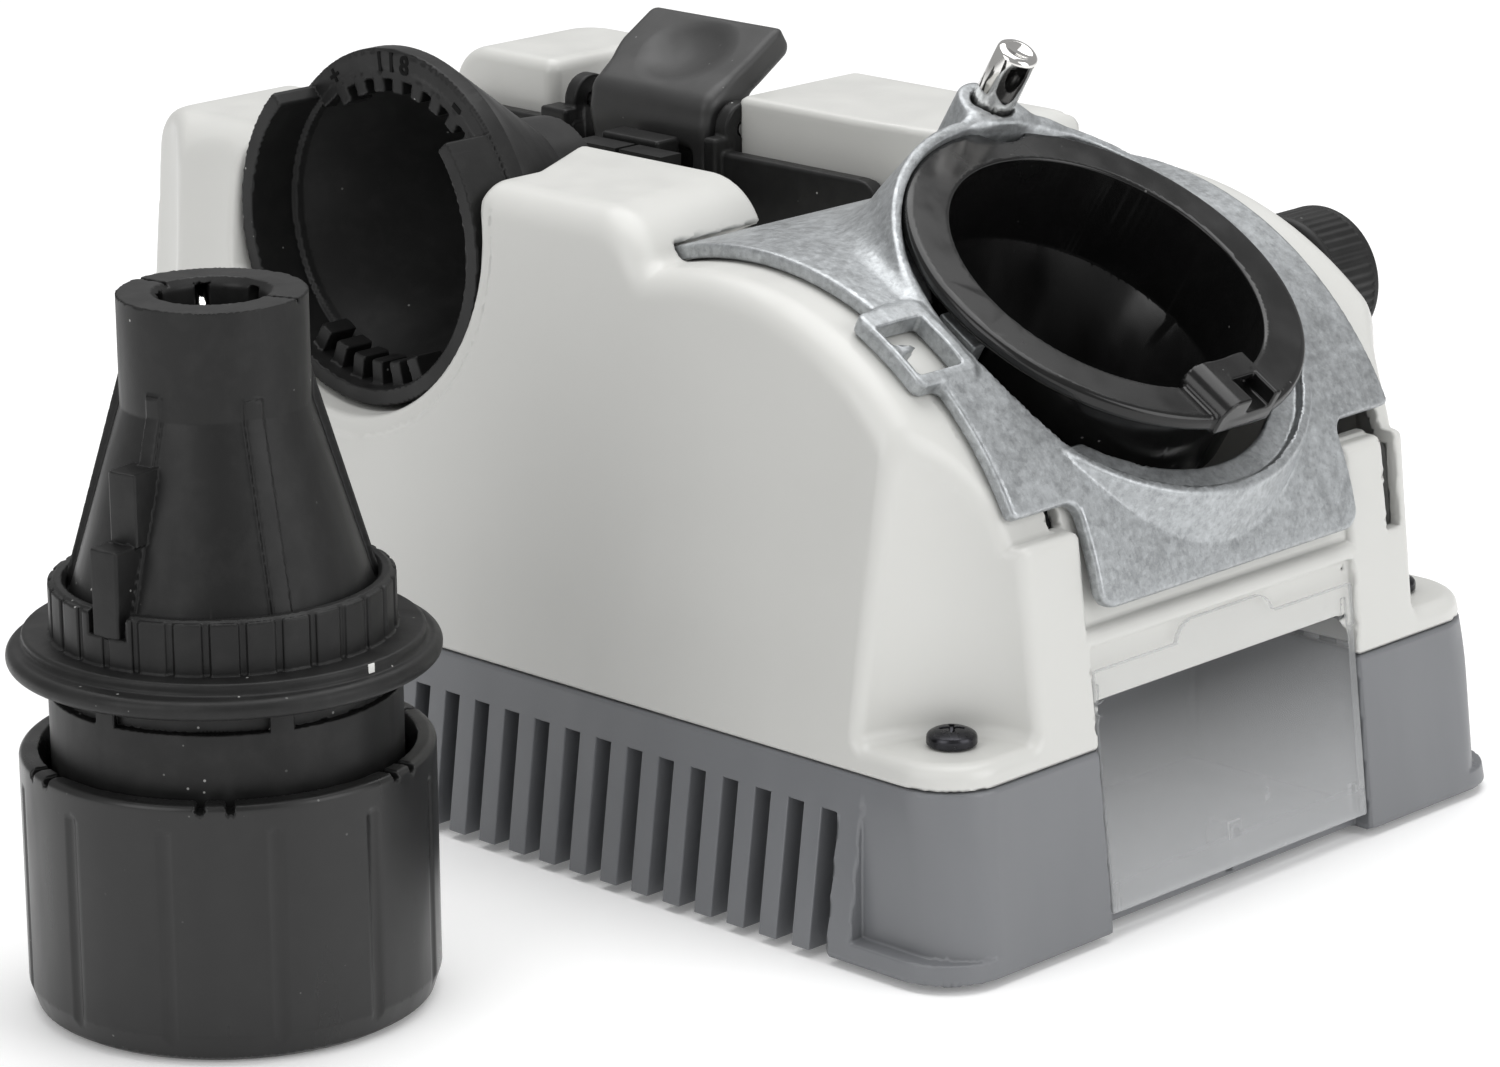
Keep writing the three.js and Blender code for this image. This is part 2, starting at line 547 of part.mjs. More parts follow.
// Helix of round wire about Z.
class Helix extends THREE.Curve {
  constructor(radius, rise, turns) {
    super();
    Object.assign(this, { radius, rise, turns });
  }

  getPoint(t, target = new THREE.Vector3()) {
    const angle = 2 * Math.PI * this.turns * t;
    return target.set(this.radius * Math.cos(angle), this.radius * Math.sin(angle), this.rise * t);
  }
}

function coil(radius, wire, rise, turns, steps) {
  const section = new THREE.Shape();
  section.absarc(0, 0, wire, 0, 2 * Math.PI);
  return solid(new THREE.ExtrudeGeometry(section,
    { steps, extrudePath: new Helix(radius, rise, turns), curveSegments: 3 }));
}

// ---------------------------------------------------------------- chuck

function chuckKnob() {
  const cup = turned([
    [0, 0], [35, 0], [37.3, 1.2], [CHUCK.knob, 4], [CHUCK.knob, CHUCK.rim], [34.6, CHUCK.rim],
    [33.2, CHUCK.rim - 3], [33.2, 6], [0, 6]], 36);
  const flutes = [];
  for (let i = 0; i < 12; i += 1) {
    const turn = new THREE.Matrix4().makeRotationZ(deg(30 * i + 8));
    flutes.push(moved(box(CHUCK.knob - 0.7, CHUCK.knob + 1, -1.2, 1.2, 6, 44), turn));
  }
  return cut(cup, ...flutes, disc(5.3, 2.5, 8, 20));
}

function chuckBody() {
  const shellOfBody = turned([
    [28.5, 8], [32.2, 8], [32.2, 63], [36, 64], [CHUCK.cam, 66], [CHUCK.cam, 68.6], [37, 70.6],
    [CHUCK.ring, 70.6], [CHUCK.ring, 81], [29, 81], [28.6, 79], [27, 79], [17.4, 113],
    [CHUCK.nose, CHUCK.top], [CHUCK.bore, CHUCK.top], [CHUCK.bore, 100], [24, 76], [28.5, 62], [28.5, 8],
  ], 32);
  const ribs = [];
  for (let i = 0; i < 6; i += 1) {
    const turn = new THREE.Matrix4().makeRotationZ(deg(60 * i + 12));
    ribs.push(moved(slabXZ([[16, 118], [17.9, 118], [28.4, 80], [28.4, 76], [20, 76]], -1.5, 1.5), turn));
  }
  const inside = turned([[0, 60], [28.4, 60], [24, 76], [CHUCK.bore, 100], [CHUCK.bore, 140], [0, 140]], 24);
  const slots = [];
  for (let i = 0; i < 6; i += 1) {
    const turn = new THREE.Matrix4().makeRotationZ(deg(60 * i + 30));
    slots.push(moved(box(6, 15.4, -1.3, 1.3, 96, 132), turn));
  }
  return cut(join(shellOfBody, ...ribs.map((rib) => cut(rib, inside))), ...slots);
}

// ---------------------------------------------------------------- assembly

function wallLean(piece, side) {
  // Leans an upright piece at the end wall to the wall's draft, about the seam line.
  const lean = new THREE.Matrix4().set(
    1, 0, -side * END_DRAFT, side * END_DRAFT * SEAM_Z, 0, 1, 0, 0, 0, 0, 1, 0, 0, 0, 0, 1);
  return moved(piece, lean);
}

function dustDoor() {
  const outer = LENGTH / 2;
  const edge = DOOR_HALF - 0.5;
  const pane = cut(box(outer - 2.4, outer - 0.2, -edge, edge, FLOOR_Z + WALL + 0.4, DOOR_TOP - 0.5),
    box(outer - 10, outer + 1, -1.8, 1.8, 0, 13.2));
  const strip = box(outer - 1.5, outer - 0.1, -DOOR_HALF + 0.3, DOOR_HALF - 0.3, DOOR_TOP - 2.5, 52);
  const tab = box(outer - 1.5, outer - 0.1, -15, 15, 51, 56);
  return wallLean(join(pane, strip, tab), 1);
}

addPiece('base_tray', baseTray(), 'base');
addPiece('upper_shell', upperShell(), 'shell');
addPiece('dust_door', dustDoor(), 'clear');
FEET.forEach(([x, y], i) =>
  addPiece(`rubber_foot_${i + 1}`, disc(7, 0, FLOOR_Z + 0.9, 16, x, y), 'rubber'));
CORNERS.forEach(([sx, sy], i) => {
  const head = turned([[0, LEDGE_Z + GAP], [4.8, LEDGE_Z + GAP], [4.6, LEDGE_Z + 1.6],
    [2.6, LEDGE_Z + 3.2], [0, LEDGE_Z + 3.5]], 14, sx * SCREW_AT.x, sy * SCREW_AT.y);
  const shank = disc(1.3, 22, LEDGE_Z + 1, 8, sx * SCREW_AT.x, sy * SCREW_AT.y);
  addPiece(`case_screw_${i + 1}`, join(head, shank), 'black');
});
addPiece('alignment_port', alignmentPort(), 'black');
addPiece('lever_bracket', leverBracket(), 'black');
addPiece('thumb_lever', thumbLever(), 'black');
addPiece('lever_pin', alongX(disc(1.5, -78, -29, 12), 0, LEVER.y, LEVER.z), 'steel');
addPiece('pawl_left', pawl(-1), 'steel');
addPiece('pawl_right', pawl(1), 'steel');

const swing = new THREE.Group();
swing.position.set(ARC.x, 0, ARC.z);
swing.rotation.y = swingTilt(TUBE_ANGLE);
object.add(swing);
addPiece('angle_plate', anglePlate(), 'zinc', swing);
addPiece('cam_pin', turned([[0, PIN.foot], [PIN.r, PIN.foot], [PIN.r, PIN.top - 0.7],
  [PIN.r - 0.7, PIN.top], [0, PIN.top]], 20, PIN.x, PIN.y), 'chrome', swing);
addPiece('sharpening_tube', sharpeningTube(), 'glossBlack', swing);
[-1, 1].forEach((side, i) => {
  const [near, far] = [side * 25, side * 39.2];
  addPiece(`tube_pivot_${i + 1}`,
    alongY(disc(2, Math.min(near, far), Math.max(near, far), 12), 0, 0, ARM.pivot), 'steel', swing);
});

const studX = ARC.x + LUG.r * Math.cos(deg(LUG.angle));
const studZ = ARC.z + LUG.r * Math.sin(deg(LUG.angle));
addPiece('lock_knob', alongY(lockKnob(), studX, 0, studZ), 'black');
addPiece('lock_stud', alongY(disc(2.2, 49, 84, 14), studX, 0, studZ), 'steel');
addPiece('lock_washer', alongY(ring(2.5, 8.5, 74, 75.3, 24), studX, 0, studZ), 'steel');

addPiece('motor_can', onShaft(join(ring(19.6, CAN_R, -84, -8, 28), ring(8, 20, -10, -8, 28))), 'steel');
addPiece(
  'motor_end_bell',
  onShaft(join(ring(7.3, CAN_R, -90, -84.3, 28), ring(3.4, 7.4, -90, -88.6, 28))),
  'black',
);
addPiece('stator_core', onShaft(ring(13, 19.3, -70, -24, 24)), 'steel');
addPiece('field_winding', onShaft(ring(14, 18.8, -23.7, -15, 24)), 'copper');
addPiece('rear_bearing', onShaft(ring(3.08, 7, -88.3, -84.5, 20)), 'steel');
addPiece('front_bearing', onShaft(ring(3.08, 7.7, -13, -8.2, 20)), 'steel');
addPiece('rotor_shaft', onShaft(disc(3, -91.5, 63, 16)), 'steel');
addPiece('armature', onShaft(ring(3.3, 12.5, -69, -25, 20)), 'copper');
addPiece('cooling_fan', fan(), 'black');
addPiece('wheel_hub', onShaft(join(ring(3.3, 10, 40, 47.7, 20), ring(3.3, 5, 47, 60.3, 20))), 'steel');
addPiece('grinding_wheel', onShaft(ring(5.4, WHEEL_R, 48, 60, 28)), 'grit');
addPiece('wheel_nut', onShaft(cut(disc(8, 60.6, 66, 6), disc(3.4, 60, 67, 16))), 'brass');
addPiece('motor_strap', motorStrap(), 'steel');
addPiece('control_board', box(-118, -100, 30, 60, 8, 9.6), 'board');

const rear = -LENGTH / 2;
addPiece('switch_frame', wallLean(cut(
  box(rear - 1.4, rear + 11, -15.2, 15.2, 12.8, 27.2),
  box(rear - 3, rear + 9, -12.6, 12.6, 15, 25),
), -1), 'black');
addPiece('power_rocker', wallLean(box(rear - 3.4, rear + 4, -11.8, 11.8, 15.4, 24.6), -1), 'black');
addPiece('cord_gland', wallLean(alongX(cut(join(disc(6, -9, 8, 20), ring(5, 8.5, -1.9, -0.3, 20)),
  disc(3.4, -12, 12, 16)), rear, 45, 20), -1), 'black');

const chuck = new THREE.Group();
chuck.position.set(CHUCK_AT.x, CHUCK_AT.y, 0);
object.add(chuck);
addPiece('chuck_knob', chuckKnob(), 'black', chuck);
addPiece('chuck_body', chuckBody(), 'black', chuck);
for (let i = 0; i < 6; i += 1) {
  const turn = new THREE.Matrix4().makeRotationZ(deg(60 * i + 30));
  addPiece(`chuck_jaw_${i + 1}`, moved(box(8.7, 14.9, -1, 1, 98, 131.3), turn), 'chrome', chuck);
}
addPiece('chuck_spindle', disc(5, 2.8, 62, 20), 'steel', chuck);
addPiece('chuck_spring', shift(coil(8, 0.9, 40, 4, 32), 0, 0, 12), 'steel', chuck);

// The whole object stands on z = 0 with its box centred on the origin.
const bounds = new THREE.Box3().setFromObject(object, true);
const middle = bounds.getCenter(new THREE.Vector3());
object.position.set(-middle.x, -middle.y, -bounds.min.z);
object.updateMatrixWorld(true);

export default object;
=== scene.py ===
import math

import bmesh
import bpy
import numpy as np
from mathutils import Matrix, Vector


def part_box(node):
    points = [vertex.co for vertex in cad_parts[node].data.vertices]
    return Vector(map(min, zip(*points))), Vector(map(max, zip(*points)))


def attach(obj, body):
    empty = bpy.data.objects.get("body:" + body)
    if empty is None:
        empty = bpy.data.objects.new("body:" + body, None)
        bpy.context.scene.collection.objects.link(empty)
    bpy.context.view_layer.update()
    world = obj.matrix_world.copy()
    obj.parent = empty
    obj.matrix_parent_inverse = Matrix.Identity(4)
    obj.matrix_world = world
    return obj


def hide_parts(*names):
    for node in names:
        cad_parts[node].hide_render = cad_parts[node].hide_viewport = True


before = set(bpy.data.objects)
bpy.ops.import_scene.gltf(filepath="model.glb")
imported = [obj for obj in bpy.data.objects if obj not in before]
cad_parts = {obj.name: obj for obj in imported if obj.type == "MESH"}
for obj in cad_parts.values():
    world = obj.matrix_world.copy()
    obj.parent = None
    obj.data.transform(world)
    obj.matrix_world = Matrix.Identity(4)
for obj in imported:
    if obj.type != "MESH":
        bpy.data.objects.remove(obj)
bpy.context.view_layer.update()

# Bench drill bit sharpener with its chuck standing in front of it.

MM = 0.001
low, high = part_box("base_tray")
SHIFT = np.array([(low.x + high.x) / 2, (low.y + high.y) / 2, 0.0]) / MM
FINE = 1.0          # grid coarsening while trying things out

HALF_X, HALF_Y, SEAM = 128.0, 80.7, 37.2   # housing at the seam between base and shell
END_DRAFT, SIDE_DRAFT = 0.12, 0.1355       # lean of the walls, mm per mm of height
TOP = 130.0                                # tower roofs
SCREW_X, SCREW_Y = 115, 66.7               # case screws, mirrored to the four corners
ARC_X, ARC_Z, TUBE_ANGLE = 54.4, 50.2, math.radians(58.7)
ARCH_R, PLATE_R = 71.6, 74.9               # housing's arch, top of the angle plate on it
ARC_STEP = 1.28                            # mm along the plate for each degree round the arc
PLATE_TRAVEL = (-1.5, 4.75, 11)            # swings that the housing leaves room for, in degrees
LOCK_R, LOCK_ANGLE = 52, 64.2              # lock stud, round the arc's centre
TURN = math.radians(31.3)                  # machine angle + TURN = angle in the plate's own frame
PIN_X, PIN_Y = -45.9, 8.9                  # cam pin, in the plate's own frame
PIVOT_Z, PIVOT_R = 29, 2.3                 # tube pivots, in the plate's own frame
PORT_X, PORT_Z = -44.4, 114.5              # alignment port's axis, along y
LEVER_Y, LEVER_Z, LEVER_PIN_R = 27.5, 123.0, 1.8
CHUCK_X, CHUCK_Y, TICK_ANGLE = 29.4, -169.0, 4.0


# ---------------- camera, light, floor

def camera():
    ahead = Vector((-0.6677, 0.6886, -0.2828)).normalized()
    right = ahead.cross(Vector((0, 0, 1))).normalized()
    up = right.cross(ahead)
    roll = -0.0075
    across = math.cos(roll) * right + math.sin(roll) * up
    upward = -math.sin(roll) * right + math.cos(roll) * up
    data = bpy.data.cameras.new("camera")
    data.lens, data.sensor_width, data.clip_end = 127.84, 36, 20
    eye = bpy.data.objects.new("camera", data)
    place = Matrix((across, upward, -ahead)).transposed().to_4x4()
    place.translation = (Vector((740.2, -764.8, 359.3)) + Vector(SHIFT)) * MM
    eye.matrix_world = place
    bpy.context.scene.collection.objects.link(eye)
    bpy.context.scene.camera = eye


def lamp(name, place, aim, size, power):
    data = bpy.data.lights.new(name, "AREA")
    data.shape, data.size, data.size_y = "RECTANGLE", size[0], size[1]
    data.energy = power
    light = bpy.data.objects.new(name, data)
    light.location = place
    light.rotation_euler = (Vector(aim) - Vector(place)).to_track_quat("-Z", "Y").to_euler()
    bpy.context.scene.collection.objects.link(light)


def studio():
    middle = (0, 0.03, 0.07)
    lamp("top", (-0.15, 0.25, 1.5), middle, (1.6, 1.6), 21.5)
    lamp("left", (0.1, -1.4, 0.75), middle, (0.9, 1.1), 6.4)
    lamp("right", (1.4, 0.35, 0.65), middle, (0.9, 1.1), 8)
    world = bpy.data.worlds.new("world")
    bpy.context.scene.world = world
    world.use_nodes = True
    sky = world.node_tree.nodes["Background"]
    sky.inputs[0].default_value = (1, 1, 1, 1)
    sky.inputs[1].default_value = 0.40
    bpy.context.scene.view_settings.view_transform = "Standard"
    bm = bmesh.new()
    bmesh.ops.create_grid(bm, x_segments=1, y_segments=1, size=9)
    mesh = bpy.data.meshes.new("floor")
    bm.to_mesh(mesh)
    bm.free()
    floor = bpy.data.objects.new("floor", mesh)
    bpy.context.scene.collection.objects.link(floor)
    paint = bpy.data.materials.new("floor")
    paint.use_nodes = True
    shader = paint.node_tree.nodes["Principled BSDF"]
    shader.inputs["Base Color"].default_value = (0.93, 0.93, 0.93, 1)
    shader.inputs["Roughness"].default_value = 0.9
    shader.inputs["Specular IOR Level"].default_value = 0.1
    shader.inputs["Emission Color"].default_value = (1, 1, 1, 1)
    shader.inputs["Emission Strength"].default_value = 0.12
    mesh.materials.append(paint)


# ---------------- materials

class Nodes:
    """A material's node tree, with a short way to add linked nodes."""

    def __init__(self, name):
        self.material = bpy.data.materials.new(name)
        self.material.use_nodes = True
        self.tree = self.material.node_tree
        self.shader = self.tree.nodes["Principled BSDF"]
        self.place = self.add("ShaderNodeTexCoord").outputs["Object"]

    def add(self, kind, inputs=None, **settings):
        node = self.tree.nodes.new(kind)
        for key, value in settings.items():
            setattr(node, key, value)
        for key, value in (inputs or {}).items():
            self.put(node.inputs[key], value)
        return node

    def put(self, socket, value):
        if isinstance(value, bpy.types.NodeSocket):
            self.tree.links.new(value, socket)
        else:
            socket.default_value = value

    def noise(self, size_mm, detail=3.0, stretch=None, rough=0.5):
        place = self.place
        if stretch:
            place = self.add("ShaderNodeMapping", {"Vector": place, "Scale": stretch}).outputs[0]
        return self.add("ShaderNodeTexNoise", {"Vector": place, "Scale": 1000 / size_mm,
                                               "Detail": detail, "Roughness": rough}).outputs["Fac"]

    def remap(self, value, low, high, to_low, to_high):
        return self.add("ShaderNodeMapRange", {"Value": value, "From Min": low, "From Max": high,
                                               "To Min": to_low, "To Max": to_high}).outputs[0]

    def mix(self, factor, a, b):
        node = self.add("ShaderNodeMix", data_type="RGBA")
        self.put(node.inputs[0], factor)
        self.put(node.inputs[6], a)
        self.put(node.inputs[7], b)
        return node.outputs[2]

    def bump(self, height, strength, depth_mm, under=None):
        inputs = {"Height": height, "Strength": strength, "Distance": depth_mm * MM}
        if under is not None:
            inputs["Normal"] = under
        return self.add("ShaderNodeBump", inputs).outputs[0]


def shade(colour, factor):
    return tuple(min(c * factor, 1) for c in colour[:3]) + (1,)


def moulded(name, colour, rough, grain_mm=0.45, grain=0.1, mottle=0.05, dust=0.0, shine=0.5):
    """Moulded plastic: fine texture, slow colour drift, uneven gloss, faint rub marks and dust."""
    n = Nodes(name)
    drift = n.noise(38, 3)
    fleck = n.noise(1.1, 4)
    tone = n.mix(n.remap(drift, 0.3, 0.7, 0, 1), shade(colour, 1 - mottle), shade(colour, 1 + mottle))
    tone = n.mix(n.remap(fleck, 0.62, 0.8, 0, 0.35), tone, shade(colour, 1 - 2 * mottle))
    if dust:
        speck = n.add("ShaderNodeTexVoronoi", {"Vector": n.place, "Scale": 260.0, "Randomness": 1.0})
        near = n.remap(speck.outputs["Distance"], 0.05, 0.075, 1, 0)
        patch = n.remap(n.noise(14, 2), 0.52, 0.6, 0, dust)
        spot = n.add("ShaderNodeMath", {0: near, 1: patch}, operation="MULTIPLY").outputs[0]
        haze = n.remap(n.noise(5, 5, rough=0.65), 0.45, 0.8, 0, 0.06 * dust)
        tone = n.mix(haze, tone, (0.16, 0.16, 0.155, 1))
        tone = n.mix(spot, tone, (0.42, 0.42, 0.41, 1))
    n.put(n.shader.inputs["Base Color"], tone)
    n.shader.inputs["Specular IOR Level"].default_value = shine
    rub = n.noise(9, 4, stretch=(1, 1, 0.25))
    gloss = n.remap(rub, 0.35, 0.7, rough - 0.08, rough + 0.08)
    n.put(n.shader.inputs["Roughness"], gloss)
    texture = n.bump(n.noise(grain_mm, 2), grain, 0.05)
    n.put(n.shader.inputs["Normal"], n.bump(n.noise(16, 2), 0.06, 0.25, texture))
    return n.material


def cast(name, colour, rough):
    """Tumbled die casting: grey bloom, crystals, small pits and bright rubbed patches."""
    n = Nodes(name)
    bloom = n.noise(9, 6, rough=0.7)
    crystal = n.add("ShaderNodeTexVoronoi", {"Vector": n.place, "Scale": 1150.0}).outputs["Color"]
    grey = n.add("ShaderNodeRGBToBW", {0: crystal}).outputs[0]
    fleck = n.noise(1.6, 5, rough=0.75)
    tone = n.mix(n.remap(bloom, 0.35, 0.65, 0, 1), shade(colour, 0.82), shade(colour, 1.15))
    tone = n.mix(n.remap(grey, 0.15, 0.85, 0, 0.35), tone, shade(colour, 1.5))
    tone = n.mix(n.remap(fleck, 0.50, 0.66, 0, 0.55), tone, shade(colour, 0.62))
    tone = n.mix(n.remap(fleck, 0.46, 0.32, 0, 0.4), tone, shade(colour, 1.6))
    n.put(n.shader.inputs["Base Color"], tone)
    n.shader.inputs["Metallic"].default_value = 0.7
    n.put(n.shader.inputs["Roughness"], n.remap(n.noise(2.4, 5), 0.3, 0.7, rough - 0.12, rough + 0.12))
    pits = n.bump(n.noise(0.7, 4, rough=0.7), 0.35, 0.12)
    n.put(n.shader.inputs["Normal"], n.bump(n.noise(4, 3), 0.22, 0.35, pits))
    return n.material


def metal(name, colour, rough, stretch=None, scratch=0.06):
    """Turned, drawn or plated metal with fine marks, drawn out along one way by stretch."""
    n = Nodes(name)
    marks = n.noise(0.9, 4, stretch=stretch or (1, 1, 1))
    tone = n.mix(n.remap(n.noise(7, 3), 0.3, 0.7, 0, 1), shade(colour, 0.93), shade(colour, 1.05))
    n.put(n.shader.inputs["Base Color"], tone)
    n.shader.inputs["Metallic"].default_value = 1.0
    gloss = n.remap(marks, 0.3, 0.7, max(rough - scratch, 0.03), rough + scratch)
    n.put(n.shader.inputs["Roughness"], gloss)
    n.put(n.shader.inputs["Normal"], n.bump(marks, 0.08, 0.03))
    return n.material


def clear(name):
    """Clear moulded pane: a pale film, densest low down, that is painted light; dust specks; edges made
    paler and more opaque as a painted highlight; scratches.
    """
    n = Nodes(name)
    flow = n.noise(40, 2, stretch=(1, 0.4, 1))
    n.put(n.shader.inputs["Base Color"], n.mix(n.remap(flow, 0.3, 0.7, 0, 1),
                                               (0.54, 0.55, 0.56, 1), (0.62, 0.63, 0.64, 1)))
    scratch = n.noise(2.5, 4, stretch=(1, 0.1, 1))
    n.put(n.shader.inputs["Roughness"], n.remap(scratch, 0.6, 0.8, 0.05, 0.18))
    height = n.add("ShaderNodeSeparateXYZ", {0: n.place}).outputs[2]
    # painted light: the pane is made paler and more opaque towards the bottom
    painted_light_low_down = n.remap(height, 0.006, 0.044, 0.42, 0.05)
    speck = n.remap(n.noise(5, 4), 0.70, 0.76, 0, 0.08)
    normal = n.add("ShaderNodeTexCoord").outputs["Normal"]
    facing = n.add("ShaderNodeSeparateXYZ", {0: normal}).outputs[0]
    flat = n.add("ShaderNodeMath", {0: facing}, operation="ABSOLUTE").outputs[0]
    # painted highlight: faces that do not face along x, the pane's edges, are made paler and more
    # opaque
    painted_edge_highlight = n.remap(flat, 0.3, 0.9, 0.45, 0)
    painted_light_and_dust = n.add("ShaderNodeMath", {0: painted_light_low_down, 1: speck}, operation="ADD").outputs[0]
    alpha = n.add("ShaderNodeMath", {0: painted_light_and_dust, 1: painted_edge_highlight}, operation="ADD").outputs[0]
    n.put(n.shader.inputs["Alpha"], alpha)
    n.put(n.shader.inputs["Normal"], n.bump(flow, 0.04, 0.3))
    return n.material


def grit(name, colour, size_mm):
    """Bonded grit, board or winding: coarse grains with their own colour and height."""
    n = Nodes(name)
    cell = n.add("ShaderNodeTexVoronoi", {"Vector": n.place, "Scale": 1000 / size_mm})
    grey = n.add("ShaderNodeRGBToBW", {0: cell.outputs["Color"]}).outputs[0]
    n.put(n.shader.inputs["Base Color"], n.mix(grey, shade(colour, 0.6), shade(colour, 1.5)))
    n.put(n.shader.inputs["Roughness"], n.remap(grey, 0, 1, 0.7, 0.95))
    n.put(n.shader.inputs["Normal"], n.bump(cell.outputs["Distance"], 0.4, 0.15))
    return n.material


def black(name, level, rough, **more):
    return moulded(name, (level, level, level), rough, **more)


PAINT = {
    "shell": moulded("shell", (0.60, 0.60, 0.578), 0.36, grain_mm=0.6, grain=0.05, mottle=0.012),
    "base": moulded("base", (0.165, 0.17, 0.18), 0.42, grain_mm=0.6, grain=0.08, mottle=0.03),
    "black": black("black", 0.011, 0.46, grain_mm=0.4, grain=0.22, mottle=0.12, dust=0.8, shine=0.28),
    "soft_black": black("soft_black", 0.031, 0.5, grain_mm=0.4, grain=0.2, mottle=0.12, dust=0.5,
                        shine=0.55),
    "gloss_black": black("gloss_black", 0.006, 0.20, grain_mm=0.9, grain=0.03, mottle=0.1, dust=0.3,
                         shine=0.42),
    # painted shade: the dial's characters are coloured darker than the drum's black face, standing in
    # for shade in engraved lettering
    "painted_shade_letters": black("painted_shade_letters", 0.003, 0.6, grain_mm=0.4, grain=0.1, shine=0.1),
    "knob": black("knob", 0.012, 0.34, grain_mm=0.5, grain=0.06, mottle=0.08, dust=0.3, shine=0.42),
    "zinc": cast("zinc", (0.37, 0.385, 0.395), 0.42),
    "chrome": metal("chrome", (0.78, 0.77, 0.75), 0.09, scratch=0.03),
    "steel": metal("steel", (0.42, 0.42, 0.42), 0.32, stretch=(1, 6, 6)),
    "screw": metal("screw", (0.045, 0.045, 0.05), 0.30),
    "clear": clear("clear"),
    "rubber": black("rubber", 0.018, 0.8, grain_mm=0.5, grain=0.3, dust=0.4),
    "grit": grit("grit", (0.22, 0.19, 0.15), 0.5),
    "brass": metal("brass", (0.55, 0.40, 0.18), 0.3),
    "copper": metal("copper", (0.50, 0.22, 0.11), 0.4, stretch=(8, 1, 1)),
    "board": grit("board", (0.03, 0.10, 0.045), 2.0),
    "mark": moulded("mark", (0.75, 0.75, 0.73), 0.5, grain_mm=0.4, grain=0.1),
}


# ---------------- distance fields

def rmax(a, b, r=0.0):
    """Where both hold; the edge between them is rounded to r."""
    if np.isscalar(r) and r <= 0:
        return np.maximum(a, b)
    return np.minimum(-r, np.maximum(a, b)) + np.hypot(np.maximum(a + r, 0), np.maximum(b + r, 0))


def rmin(a, b, r=0.0):
    """Where either holds; the corner between them is filled to r."""
    return -rmax(-a, -b, r)


def minus(a, b, r=0.0):
    return rmax(a, -b, r)


def brick(x, y, z, xs, ys, zs, r=0.5):
    q = [abs(v - (a + b) / 2) - (b - a) / 2 + r for v, (a, b) in ((x, xs), (y, ys), (z, zs))]
    out = np.sqrt(np.maximum(q[0], 0) ** 2 + np.maximum(q[1], 0) ** 2 + np.maximum(q[2], 0) ** 2)
    return out + np.minimum(np.maximum(np.maximum(q[0], q[1]), q[2]), 0) - r


def rod(radial, axial, radius, start, end, r=0.4):
    """Turned solid: radial distance from the axis against place along it."""
    a, b = radial - radius + r, abs(axial - (start + end) / 2) - (end - start) / 2 + r
    return np.hypot(np.maximum(a, 0), np.maximum(b, 0)) + np.minimum(np.maximum(a, b), 0) - r


def lathe(radial, axial, outline):
    """Turned solid with sloping sides: outline is a closed loop of (radius, place along the axis)."""
    best, sign = None, None
    for (r0, z0), (r1, z1) in zip(outline, outline[1:] + outline[:1]):
        er, ez = r1 - r0, z1 - z0
        wr, wz = radial - r0, axial - z0
        t = np.clip((wr * er + wz * ez) / (er * er + ez * ez), 0, 1)
        d = (wr - er * t) ** 2 + (wz - ez * t) ** 2
        above, below = axial >= z0, axial < z1
        left = er * wz > ez * wr
        flip = (above & below & left) | (~above & ~below & ~left)
        sign = flip if sign is None else sign ^ flip
        best = d if best is None else np.minimum(best, d)
    return np.sqrt(best) * np.where(sign, -1, 1)


def swing(x, y, z, more=0.0):
    """Machine frame to the plate's own frame: its third place runs up the tube's axis."""
    a = TUBE_ANGLE + math.radians(more)
    dx, dz = x - ARC_X, z - ARC_Z
    return dx * math.sin(a) - dz * math.cos(a), y, dx * math.cos(a) + dz * math.sin(a)


def from_swing(points):
    a = TUBE_ANGLE
    x, y, z = points.T
    return np.stack([ARC_X + x * math.sin(a) + z * math.cos(a), y,
                     ARC_Z - x * math.cos(a) + z * math.sin(a)], 1)


def surface(field):
    """Quads on the zero level of a grid of distances, one point in each crossed cell."""
    inside = field < 0
    cells = np.array(field.shape) - 1
    corners = np.zeros(cells, np.uint8)
    for i, j, k in np.ndindex(2, 2, 2):
        corners += inside[i:i + cells[0], j:j + cells[1], k:k + cells[2]]
    at = np.argwhere((corners > 0) & (corners < 8))
    index = np.full(cells, -1, np.int64)
    index[tuple(at.T)] = np.arange(len(at))
    total, count = np.zeros((len(at), 3)), np.zeros(len(at))
    unit = np.eye(3, dtype=int)
    for axis in range(3):
        for i, j in np.ndindex(2, 2):
            offset = i * unit[(axis + 1) % 3] + j * unit[(axis + 2) % 3]
            start = at + offset
            a, b = field[tuple(start.T)], field[tuple((start + unit[axis]).T)]
            crossed = (a < 0) != (b < 0)
            t = np.where(crossed, a / np.where(crossed, a - b, 1), 0)
            total += np.where(crossed[:, None], offset + t[:, None] * unit[axis], 0)
            count += crossed
    points = at + total / count[:, None]
    faces = []
    for axis in range(3):
        u, v = unit[(axis + 1) % 3], unit[(axis + 2) % 3]
        here = [slice(1, -1)] * 3
        there = list(here)
        here[axis], there[axis] = slice(0, -1), slice(1, None)
        edge = np.argwhere(inside[tuple(here)] != inside[tuple(there)])
        edge += 1 - unit[axis]
        quad = np.stack([index[tuple((edge - u - v).T)], index[tuple((edge - v).T)],
                         index[tuple(edge.T)], index[tuple((edge - u).T)]], 1)
        out = inside[tuple(edge.T)]
        faces.append(np.where(out[:, None], quad, quad[:, ::-1]))
    return points, np.concatenate(faces)


